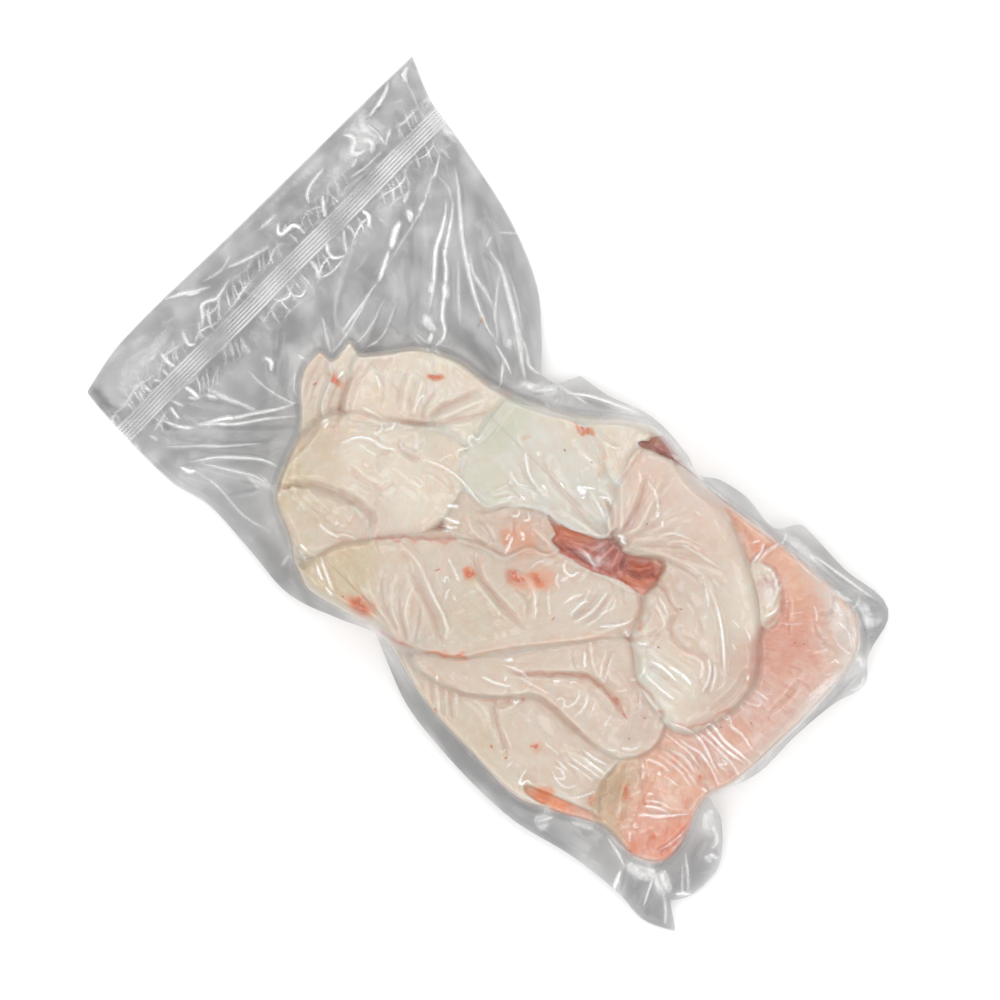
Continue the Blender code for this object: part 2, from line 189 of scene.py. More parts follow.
# Ridges and, below zero, grooves in the food: height, half width and path.
FOOD_FOLDS = read_rows(Fold, """
    # left end
    1.6 2  -126,-18 -123,-32 -118,-42 -111,-49; -1.9 1.5  -121,-8 -119,-22 -114,-34 -108,-42 -106,-48
    -.96 1.3  -117,-3 -116,-18 -111,-30 -106,-37; -.64 .8  -138,-27 -135,-38 -129,-48
    -.56 .8  -133,-27 -130,-38 -124,-50; -2.7 1.5  -83,-19 -77,-14 -68,-6
    1.4 1.8  -91,7 -87,-2 -81,-11; -1.2 1.6  -82,8 -80,-2 -76,-11; -1.6 2  -64,26 -69,12 -73,2 -73,-9
    1.2 2  -59,24 -65,9 -69,-3; -1.1 2  -51,24 -59,9 -66,-2 -70,-8; .96 2.4  -98,3 -91,-8 -83,-15
    -.8 1.8  -101,5 -96,-6 -89,-15; .8 2.4  -110,7 -106,-6 -99,-17; -.88 1.5  -112,-9 -104,-11 -96,-22
    .88 1.2  -97,-52 -94,-42 -88,-37 -80,-35 -73,-31; -.6 2.8  -75,-33 -78,-42 -73,-50
    .6 2.4  -86,-51 -76,-53 -65,-49; -.6 2.6  -86,-57 -75,-57 -63,-52
    -1.3 2.2  -78,-26 -70,-29 -60,-25; 1.6 2.8  -76,-17 -70,-19 -67,-25; -.8 2.8  -62,-42 -63,-56 -56,-69
    .8 1.4  -62,-25 -50,-20 -36,-18 -20,-20; -.72 1.6  -58,-30 -46,-26 -32,-26
    -2.2 2.4  -104,-91 -99,-83 -92,-77 -82,-72 -68,-67 -57,-67 -51,-74; 1.6 5  -94,-86 -80,-79 -64,-75
    1 1.3  -77,-90 -66,-88 -60,-83 -48,-79; -1.3 1.4  -63,-102 -60,-92 -56,-85 -47,-76
    -.96 1.5  -100,-97 -86,-102 -72,-108 -54,-116; 1 1.4  -66,-103 -55,-106 -42,-112
    -.8 1.3  -60,-111 -48,-114 -38,-113
    # front roll
    -1.8 2.2  -6,-41 4,-47 12,-49.5 28,-50.5 46,-50; 1.3 1.6  6,-51 18,-52.5 30,-55
    1.4 2  -42,-66 -22,-66.5 -8,-72 5,-76 20,-83; -1.3 1.8  -26,-72 -10,-76.5 3,-81 20,-89
    1 1.3  6,-100 -5,-92 -13,-83 -16,-73; -1 1.3  5,-101 -8,-94 -17,-86 -21,-75
    .96 1.4  4,-102 -11,-96 -21,-88 -26,-76; -.96 1.5  4,-102 -14,-98 -26,-91 -33,-82
    .88 1.6  4,-102 -16,-100 -31,-95 -40,-88; -.8 1.5  4,-103 -16,-102.5 -34,-99 -44,-94
    .72 1.4  2,-104 -14,-105 -28,-103; -.8 1.2  8,-99 0,-88 -6,-80; .8 1.4  16,-34 32,-32 45,-46
    -.88 1.8  24,-40 34,-39 42,-47; .96 1  56,-28 57,-18 54,-10; 1 1  61,-30 63,-18 62,-4
    -.96 1.1  59,-30 60,-18 58,-6; 1 1.1  66,-28 69,-16 66,-4; -.8 1.2  65,-28 66,-17 64,-4
    1.2 1.6  72,-27 78,-17 82,-9; -1.3 2  72,8 80,4 84,-3 86,-12; -.96 1.2  -20,-25 -14,-19 -8,-8 2,-3
    1.1 1.6  -22,-30 -12,-33 0,-31; -.8 1.5  -18,-27 -8,-27 0,-30; 1.3 1.8  8,-8 16,-9 23,-8
    -1.1 1.3  -2,-12 3,-18 8,-27; 1.1 1.2  2,-18 6,-24 9,-30
    # corner slab and its fold
    1 1.2  -24,18 -17,12 -8,9 4,9; -.96 1.6  -22,12 -14,8 -4,7; .96 1.2  -22,4 -13,2 -5,5 -1,2
    -.96 1.3  -19,-1 -12,-2 -6,0; .8 1.2  -15,-3 -17,-8 -21,-13; .8 1.2  -10,-4 -12,-9 -15,-13
    -1 2.4  -18,24 -4,18 14,16 30,17 42,18; 1 1.8  40,19 30,24 18,27 6,26
    -.96 1.4  41,20 33,27 24,29; .96 1.5  41,21 34,30 25,33 18,31; -1 1.3  41,16 30,14.5 16,14
    .88 1.6  38,14 26,11 12,9; -.8 1.8  20,38 30,34 38,27 42,21; -.88 1.6  -4,51 4,49 11,43 15,34
    .72 1.5  -10,40 4,39 20,41; .8 1.3  -14,56 -6,62 2,70; -.72 1.3  -8,57 0,54 14,57
    # dome, with folds that run from the pucker
    -1.9 1.8  45,20 44,30 39,44 31,56; 1.3 2  46,21 49,32 44,48 38,60; -1 1.5  47,22 53,34 54,48
    1 2  50,22 60,34 66,48; -.96 1.6  52,23 66,35 78,46; .96 1.8  56,23 72,32 90,42 104,46
    -.8 1.6  62,26 78,32 94,36; -3.2 4  40,20 45,20 53,22; 1.3 1.8  90,40 108,32.5 120,25 132,15 140,8
    -.96 3  86,26 104,22 120,12; -1.1 1.4  74,14 78,17 84,18 90,15.5 99,15
    -.9 1.8  98,17 98,9 102,4 109,3 118,6 128,9; 1.2 2.2  112,-1 122,4 130,3 136,-5
    1.6 3  96,-12 110,-10 124,-7 136,-10; -1.1 1.8  88,-14 94,-8 97,0; -1.1 2  104,-18 118,-15.5 132,-14
    1.1 1.6  104,-22 118,-21.5 132,-20; -1 1.6  86,4 88,-5 86,-14; 1.1 2.4  84,8 92,8 99,4
    1 1  126,9 133,3 137,-7; .96 .9  131,10 137,3 141,-4; -1.1 2.6  146,20 150,6 148,-12
    # finger and lower slab
    -2.7 1.4  54,-75 66,-64 78,-52 85,-46 93,-43.5 104,-43.5 119,-47
    1.8 5  74,-58 90,-53 110,-54 124,-52; 1.4 3.5  78,-38 98,-36 120,-38
    -1.6 1.3  106,-27.5 116,-28.3 128,-30 135,-34; -1.1 1.4  86,-25 92,-36 98,-42
    1 1.3  76,-31 84,-38 92,-42; -.8 1.4  70,-40 78,-46 84,-46; -1.4 1.8  58,-88 68,-97 80,-103 88,-107
    .96 2.5  48,-98 60,-97 70,-103; -1.1 1.6  38,-103 44,-108 52,-114; .96 1.4  30,-106 38,-111 46,-118
    -.88 1.3  34,-104 41,-110 48,-117; .88 1.3  24,-106 30,-112 38,-118; -1 2  60,-79 66,-86 62,-92
    .96 1.8  66,-76 70,-84 67,-90; -.8 1.4  100,-113 112,-116 122,-119; .96 2.5  104,-82 118,-79 132,-75
    # lean slab, corner roll and nub
    -1.6 2  134,62 137,50 137,40 144,28; 1.2 1.8  60,76 80,78 104,78; -1.2 1.8  62,73 84,72.5 104,71
    -1.3 1.3  108,79 106,72 106,62; 1.3 1.1  110,80 109,72 108,64; -1.3 1.5  171,36 172,24 171,8
    1.3 3  184,58 185,36 185,10 184,-10; -.96 1.6  152,64 160,60 176,60; -1.1 1.6  150,82 156,74 152,66
    1 2  162,82 172,76 182,66; -.8 1.2  136,62 142,55 150,48; .8 1.2  134,66 140,60 145,52
    -1 1.4  139,-52 141,-58 150,-66 158,-74 160,-84; 1.3 3.5  150,-56 164,-62 176,-60
    -1.4 1.5  182,-50 184,-62 184,-76 181,-88; 1 1.3  186,-58 188,-70 186,-84
    -1.2 1.6  132,-64 134,-76 140,-88 150,-96; .96 1.4  140,-66 146,-78 156,-90
    .96 1.4  158,-73 168,-66 180,-56; -.8 1.2  159,-76 170,-68 180,-60
    1.1 1.2  112,66 119,66 127,61 131,52; -1 1.1  112,62 119,61 126,55 131,46
    # the sunken lean
    .8 .9  44,17 41,9 39,2; -.96 .9  45,17 44,9 42,2; .8 .9  46.5,17 47,9 46,2
    -.96 .9  48,17 50,9 49.5,2; .8 .9  50,17 53,10 53,4; -1.6 1.1  54,19 57,13 58,7
    1.1 1.4  60,12 67,18 71,25; -1.2 1.2  60,9 68,13 74,21; .96 1.2  26,-3 34,1 42,3
    -1.2 1.2  22,-1 30,4 38,9
    -1.1 3.2  100,4 112,9 125,9 134,2 140,-10; 1 5  108,-16 120,-12 132,-14; -1 1.6  97,2 99,-6 97,-14
""")

# Edges where one sheet of fat lies over the next; the high side is left of each path.
FLAPS = read_rows(Flap, """
    1.9 8 .32  -67,-5 -76,-13.5 -84,-20 -90,-25 -97,-29 -105,-34 -109,-47
    1.3 10 .14  -117,-44 -112,-54 -110,-64 -110,-78
    1.3 7 .18  -112,-50 -121,-41 -125,-31 -130,-25.5 -137,-23
    1.7 12 .27  28,-7 26,-11 22,-15 16,-16.5 13,-20 9,-31 0,-33 -6,-36 -16,-42.5 -30,-56 -40,-65 -48,-74
    1.6 8 .18  -48,-74 -51,-80 -58,-87 -61,-98
    2.4 14 .27  -14,-110 8,-101.5 20,-94 31,-86 38,-75 52,-56 70,-34 77,-24 85,-16
    .86 8 .09  -41,-17 -28,-19.5 -18,-19 -12,-12 -4,-5 6,1
    1 12 .09  -22,50 -32,43 -50,33 -51,24 -48,6 -44,-10 -41,-17; 1.7 10 .23  24,42 21,54 19,66 15.5,81
    1.9 10 .23  34,-101.5 46,-99 58,-90 66,-80 73,-72 85,-69 100,-68.5 115,-68 128,-64
    1.7 9 .23  130,-63 137,-56 139,-48 138,-40 134,-33; 1.2 9 .14  86,-16 100,-17.5 106,-24 107,-28
    .5 8 .1  76,8 84,2 87,-6 84,-14; 1.2 8 .18  134,-66 135,-80 142,-90 152,-97
""")

# Sunken places where red lean shows.
PITS = read_rows(Pit, """
    9  9,2.5 12,1.5 20,2.2 29,7.2 38,12 42,17 45,19.5 50,18 54,16 57,16 61,21 66,26 72,28.6 75.4,25 76,20 \
        78.2,15 73.3,10 64.7,5.8 56,4 47,.8 34,-3.5 25.6,-6.3 21,-6 20,-2 14,0
    12  17,64.3 24,66.4 33,69.3 44,72 56,75.4 44,74.1 32,71.9 24,69.5 18,67
    7  105,-112 113,-107 125.5,-101.5 143.6,-95.5 147.6,-98.6 137,-105 125,-109 115,-113
""")

# Coloured lines: colour, strength, half width and path. Most are painted shade in creases, valleys and
# under sheet edges; the rest, such as those in the sunken lean and the pale rim by the lean slab, are the
# food's own colour.
CREASE_SHADE_AND_STAIN_LINES = read_rows(Crease, """
    crease .85 .9  -84,-20 -77,-14.5 -68,-6; crease .35 3  -82,-12 -75,-7 -72,2
    rose_pale .6 2.2  -106,-34 -97,-31 -88,-24 -80,-15; crease .35 2  -66,26 -70,12 -74,2
    crease .25 2  -52,22 -60,8 -66,-2; crease .5 1.2  -121,-8 -119,-22 -114,-34 -107,-42
    crease .45 1  -117,-6 -116,-18 -111,-30 -106,-37; tan .55 1.3  -110,-38 -106,-36
    rose_pale .5 1.8  -109,-41 -107,-47 -98,-49; tan .3 3.2  -119,-46 -113,-58 -112,-74
    tan .25 .9  -138,-28 -135,-38 -128,-50; tan .25 .9  -133,-27 -130,-38 -124,-50
    tan .3 .8  -142,-36 -134,-48 -122,-58; crease .3 3  -76,-34 -77,-42 -73,-48
    crease .4 1.8  -84,-56 -75,-56 -64,-51; crease .4 2.4  -78,-26 -71,-29 -62,-26
    crease .2 3  -62,-42 -63,-56 -56,-69; tan .6 1  -103,-90 -99,-83.5 -92,-77
    tan .6 1.6  -102,-88 -99,-84; crease .5 1.8  -96,-82 -84,-73 -68,-67.5 -58,-68 -52,-74
    tan .25 3  -96,-79 -82,-70 -66,-65; crease .5 1.4  -62,-101 -60,-92 -56,-85 -48,-77
    rose .5 1.4  -63,-99 -60,-98; tan .3 1.2  -100,-98 -86,-103 -72,-109 -56,-116
    rose 1.1 1.2  -50,-77 -47,-73 -40,-65.5 -30,-56 -20,-46.5 -15,-42
    rose_pale .5 2.6  -48,-72 -38,-61 -26,-50 -17,-42; rose .8 .8  -19,-40 -16.5,-43
    crease .7 1.3  -14,-41 -5,-36.5 1,-33.5 9,-31.5
    orange_pale .8 1.3  9,-31 11,-24 14,-18 22,-15 26,-11 28,-7; crease .3 3  -10,-38 2,-42 10,-46
    crease .5 1.3  -4,-42 4,-47 14,-49 28,-50 44,-50; crease .3 1.3  -24,-72 -10,-76 3,-80 18,-88
    orange_pale .5 1.4  8,-101 20,-94 31,-86 38,-75 52,-56 70,-34 84,-17
    rose 1.1 1.4  -24,-113.5 -14,-109.5 -4,-106 8,-101.5; orange 1.1 1.3  14,-98 24,-91 33,-84
    orange_pale .5 2.2  70,-32 77,-24 85,-16; crease .5 1.2  10,-102 24,-103 36,-101
    crease .3 1.2  4,-102 -12,-98 -26,-91; crease .25 1.2  5,-101 -8,-94 -17,-86
    crease .3 1  4,-102 -16,-102.5 -34,-99; crease .25 2  60,-28 64,-16 62,-4
    rose_pale .45 1.4  72,8 80,4 84,-3; green_white .5 3  -26,-24 -14,-30 -2,-30
    rose_pale .3 3  -14,22 6,16 30,17; crease .4 1  41,16 30,14.5 18,14
    crease .4 1.2  40,22 34,28 26,30; orange_pale .5 1.1  -6,51 4,49 11,43 15,34
    orange_pale .5 1.2  24,42 21,54 19,66; orange .65 1.4  -56,36 -52,39 -46,38
    rose_pale .5 3.4  45,22 43,32 38,46; crease .45 1.2  45,21 44,30 39,44
    green_white .6 2.4  54,23 62,25 70,27; tan .5 .8  74,14.5 80,17.5 86,17 92,15 99,15.5
    crease .45 1.5  98,15 98,9 102,4.5 109,3 118,6 128,9; rose_pale .3 5  96,0 112,2 128,4
    rose_pale .4 2.4  90,-12 96,-5 102,0; orange .7 .9  86.5,-2 88,-5 87,-8
    rose .5 1.2  84,-14.5 90,-13.5 94,-11; rose_pale .5 2.6  152,10 151,-4 147,-18 146,-26
    rose .7 1.1  154,0 152,-12 148,-23 136,-31; rose .45 1.6  134,42 140,34 150,19 154,4
    rose .85 .8  104,-27 116,-28.3 128,-30 134,-33
    rose .75 .8  56,-73 66,-64 78,-52.5 85,-46.5 93,-44 104,-43.8 118,-46.5
    rose_pale .35 2  64,-66 78,-53 86,-46 96,-43; blood .5 .8  100,-43.7 110,-44.2 119,-46.5
    crease .7 1.4  70,-74 80,-71 92,-70 106,-69.5 120,-68; tan .3 3.6  80,-74 92,-72 106,-71
    rose .6 1.1  135,-34 138.5,-42 139,-50 136,-58; orange_pale .5 3  140,-42 140,-52 139,-60
    crease .5 1.5  60,-90 68,-97 80,-103 88,-107; crease .5 1.3  36,-102 46,-99 56,-91
    crease .3 1.2  40,-104 46,-110 52,-116; crease .3 1.2  24,-106 34,-113 40,-118
    tan .4 1.2  132,-65 134,-78 142,-90 152,-97; tan .25 .8  136,-66 142,-78 154,-90 166,-96
    tan .25 .8  134,-72 140,-84 150,-93; orange .6 .9  151,-64 155,-69 158,-74
    rose .6 1.3  182,-50 186,-62 190,-72 191,-84; rose_deep .5 2.2  184,-58 186,-70 183,-86
    rose .6 2.2  134,62 137,52 137,42; salmon_deep .5 5  140,34 146,26 154,12
    orange_mid .6 2.4  62,73.5 84,72.5 104,70; rose .5 1.2  108,79 106,72 106,62
    orange_mid .5 1.6  171,34 172,24 171,10; orange_pale .5 1.5  158,68 172,60 181,50
    rose_pale .4 1  134,66 140,60 146,52; rose .5 1  109,65 118,69 128,64 134,53
    deep_red .95 1.1  23,-5.5 28,-5.5 36,-2.5 44,-.8 50,.5; deep_red .6 2  22,-3 28,-3
    deep_red .85 1.6  59,9.5 66,14 72,19 74,23; deep_red .6 1.2  54,18 57,12 58,8
    orange .85 1.8  60,7.5 68,8.5 75,13; orange .6 3  22,1 30,4 37,10
    deep_red .7 1  40,19 45,17.5 52,18.5; rose_deep .6 1  64,22 68,25 72,27
    deep_red .5 .6  45,16 43,9 42,4; deep_red .5 .6  48,16 50,9 50,4
    haze .8 1.8  34,.5 40,1.5 46,3 50,4; haze .5 1.2  40,12 46,9 52,9
    haze .6 1.2  61,19 64,21 66,20; maroon .9 1.1  19,65.5 25,69 32,71.5 42,73 50,74
    pale 1.3 7  118,86 136,83 147,79 155,75 166,73 177,65 184,54 187,36
    white_fat 1 5  128,86 146,82 158,79 170,74 180,65 186,52 188,40; pale .8 5  187,40 188,10 186,-22
""")

# Where the loose film stands up.
HEADER_PUFFS = read_rows(Fold, """
    5 9  -174,96 -140,62 -98,20; 4 8  -208,90 -205,48 -212,2; 4 6  -130,92 -90,68 -48,42
    3 9  -176,48 -158,8 -136,-28; 5 9  -114,-62 -146,-88 -176,-110; 3 6  -108,-92 -132,-106 -156,-121
    4 5  168,-98 178,-109 188,-120; 4 5  124,89 152,91 178,95
""")

# Creases of the loose film: how bright each is, its half width and its path; each is a ridge in the film
# with a painted highlight along it, and below zero a groove with painted shade in it.
LOOSE_STREAKS = read_rows(Streak, """
    # mouth strip
    .75 1.1  -221,109 -217,102 -215,93 -214,85; .6 1.5  -219,122 -217,117 -213,115
    .25 .7  -216,116 -204,112 -192,107; .5 .9  -202,92 -199,86 -196,82; .6 .9  -214,83 -204,84 -196,82
    .6 2  -218,70 -212,73 -206,67 -201,76; .42 1.2  -203,67 -201,60; .5 .8  -196,80 -196,66 -198,55
    .55 2.2  -210,76 -203,78 -198,73; .6 1  -212,52 -211,40 -208,33 -203,30; .9 1.2  -202,39 -196,34 -192,31
    .42 .8  -199,42 -192,42; .36 .7  -201,50 -195,44; .36 1  -203,27 -197,28
    .85 1.3  -209,12 -203,7 -201,16 -193,17; .42 1  -205,14 -201,6; .3 .8  -200,11 -192,11
    .4 .9  -212,14 -213,0; .5 .8  -202,0 -206,-15 -211,-28; .35 .9  -214,-20 -212,-30 -215,-42
    .75 1  -206,-28 -203,-42 -206,-50 -201,-55 -197,-60; .54 1.2  -212,-46 -216,-53
    .5 .8  -203,-50 -195,-55; .6 1  -223,-63 -218,-54 -209,-40; .7 1  -204,-68 -196,-71 -193,-68
    .8 1.2  -204,-85 -198,-86 -192,-85; .48 1  -197,-91 -191,-91; .42 1  -197,-99 -192,-96
    .57 1.1  -198,-104.5 -191,-104; .54 1.2  -198,-108 -191,-110.5; -.5 1.4  -213,98 -214,88 -212,82
    -.35 3  -202,10 -200,-20 -199,-44; -.35 4  -207,100 -200,96 -198,88
    # wrinkles square to the seal
    .95 1.4  -181,48 -176,48.5 -171,44; .3 .7  -179,42 -172,42; .3 .7  -180,38 -173,36
    .6 .8  -181,34 -175,29 -169,25; .9 1.1  -183,23 -178,19 -173,19 -169,25
    .6 .8  -169,24 -168.5,12 -171,5; .85 1.1  -181,9 -176,8 -171,4; .6 .9  -172,-3 -171,-9 -176,-12
    .7 .9  -182,-10 -176,-12 -177,-18 -181,-21; .24 1.4  -180,-32 -174,-33
    .9 1.4  -181,-89 -176,-88 -170,-88; .42 1  -176,-92 -171,-89; .48 .9  -181,-100 -177,-98 -174,-97
    .9 .9  -179,-102 -176,-103 -170,-103.5; -.4 1.6  -174,26 -174,10; -.3 1.5  -179,74 -176,58
    # body of the header
    .57 1.3  -160,76 -158,69; .57 1.8  -164,66 -160,65 -157,62; .95 2.2  -162,59 -159,52 -154,44
    .8 1.1  -155,44 -150,34 -146,26; .6 .8  -147,27 -144,10 -142,-2 -140,-8
    .3 .7  -171,99 -165,86 -158,72 -153,52 -148,30; .42 1.4  -170,74 -167,67
    .6 .8  -173,101 -167,92 -165,88; .36 .8  -174,103 -166,102
    .85 1.1  -153,86 -146,78 -141,70 -137,62 -130,54 -123,46 -114,33
    .85 1.1  -151,89 -144,81 -138,73 -131,63 -124,57 -117,49 -108,38 -101,33 -99,26 -101,19
    .54 2.2  -126,48 -121,42; .54 1.8  -134,66 -130,62; .8 2.2  -121,53 -113,46
    .45 3  -117,32 -110,30 -105,30; .54 1.4  -106,28 -103,22; .3 .8  -112,21 -104,22
    .3 .7  -110,19 -103,19; -.54 1.6  -110,16 -104,15
    .65 1.1  -163,102 -153,95 -145,88 -132,77 -119,68 -106,60 -96,55 -86,51 -76,49
    -.5 1.1  -161,101 -150,95 -143,89; .25 .8  -165,91 -155,90 -150,86; .42 .9  -120.5,89 -118,81
    -.7 1  -117,78.5 -106,78; -.4 1  -120,90 -110,84 -104,82
    .5 1.8  -117,82 -105,80 -92,73 -80,66 -68,58 -58,50 -49,44; .35 .8  -103,82 -90,76 -78,68 -66,59
    .35 1  -104,79 -96,68 -87,58 -76,49; .5 .9  -78,48 -68,45.5 -58,42; .55 .8  -68,45 -62,38 -58,33
    .55 1  -77,62 -68,60 -60,56 -56,53 -50,53 -45,55; .3 2.4  -74,56 -70,51
    .4 1.2  -122,74 -114,67 -100,64 -90,60; .3 .8  -124,66 -110,52 -98,42; .3 .8  -111,100 -119,92
    -.4 5  -88,40 -76,38 -64,36; -.4 3.5  -122,2 -126,-4 -127,-8; .35 .9  -136,-22 -138,-8 -142,8 -147,24
    .35 .8  -136,-20 -146,-14 -156,-8; .3 .8  -135,-20 -131,0 -138,24; .3 .8  -126,-6 -124,8 -133,28
    -.3 1.2  -136,-20 -136,-6 -139,8; .3 .9  -150,-32 -146,-32 -143,-29; .4 .9  -144,-40 -138,-47 -131,-50
    -.5 1.6  -174,-14 -168,-26 -160,-37 -155,-44; -.3 3  -156,-44 -144,-49 -131,-55
    .7 1.6  -162,-47 -157,-46 -153,-50; .24 1.8  -176,-50 -168,-51
    .35 .8  -164,-58 -150,-58 -134,-54 -131,-50
    # lower part of the header
    .54 1.1  -170,-84 -163,-80.5; .65 1  -131,-50 -134,-58 -142,-70 -150,-82 -157,-92 -163,-101
    .6 1  -125,-56 -137,-70 -147,-84 -155,-92 -162,-100; .95 1.5  -158,-93 -152,-84 -149,-82
    -.75 1.8  -164,-97 -154,-92 -143,-83 -129,-69 -122,-60; -.5 1.6  -125,-66 -129,-80 -140,-92 -150,-101
    .35 1.1  -176,-82 -162,-78 -150,-73 -140,-69; -.3 1  -172,-90 -158,-80 -146,-74
    .6 1.1  -111,-83 -122,-87 -132,-95 -142,-105 -150,-117; .35 .9  -128,-80 -142,-96 -154,-108 -166,-121
    .45 1  -109,-95 -118,-96 -130,-103 -147,-114; -.7 1  -112,-97.5 -118,-101 -124,-105
    .95 1.2  -152,-122 -146,-120 -144,-117; .6 1  -178,-111 -168,-107 -161,-101
    -.6 1.3  -178,-113 -170,-111 -164,-106; .3 .9  -176,-122 -170,-120
    .3 .8  -146,-118 -130,-115 -108,-116 -92,-112; -.45 1.8  -112,-98 -116,-106 -124,-116
    .3 .8  -84,-107 -76,-112 -74,-122; -.3 7  -216,-126 -204,-126 -192,-126
    .3 5  -208,-116 -206,-96 -210,-70
    # right ear and back fins
    .85 1.1  -31,56 -22,63 -11,69 6,77; .45 .8  -40,56 -30,58 -15,61; .4 2.6  -45,44 -40,50 -35,58
    .18 .9  -33,52 -29,46; -.7 2  -22,61 -14,64 -6,69; -.3 1.2  -44,54 -38,54; .36 1.1  -36,44 -30,45
    .7 1  128,89.5 140,91 152,93 172,96.5; -.6 1.4  134,89.5 146,90 160,93; .8 1.6  148,84 156,84.5 162,87
    .35 5  162,90 172,86 180,82; .35 4  110,86 122,87 136,86; .5 1  110,80 111,84 108,88
    .3 3  152,78 160,76 162,66; .5 1  161,92 164,86 162,80; .35 .9  164,90 170,80 176,77
    -1 2.4  175,76.5 182,74 189,68.5; .5 1.2  180,70 188,66 192,65; .5 1.2  194,63 197,57 194,50
    -.5 1.4  191,62 191.5,40 190.5,20
    # tail
    .25 5  188,-49 193,-54 198,-60; .6 1.2  194,-54 201,-58 203,-64; -.36 1.2  203,-63 209,-64
    .51 1.4  203,-67 209,-65; .36 2.2  202,-69 208,-69; -.5 2.2  196,-62 197,-70 201,-77
    .5 .8  193,-75 202,-82 212,-91; .35 .8  196,-80 204,-88 210,-94; .8 1.2  213,-89 208,-93 206,-96
    .5 1  213,-70 214,-82 212,-92; .5 3.6  191,-91 196,-94 204,-97; .4 3.5  174,-101 182,-102 192,-99
    .36 .9  184,-95 184,-100 183,-103; .5 .9  190,-95 194,-104 199,-114; .4 1  201,-99 208,-105 215,-112
    .6 1  156,-99.5 164,-101 172,-103 176,-105; .85 1.3  175,-107 178,-113 181,-119
    -.9 1.4  176,-104 180,-110 184,-116; -.6 2.2  142,-106 148,-106 150,-102
    .35 2.4  136,-108 144,-104 150,-101; -.3 1.5  123,-119 126,-114; .4 1.6  124,-122 129,-112
    -.35 5  20,-121 60,-124 104,-125
""")
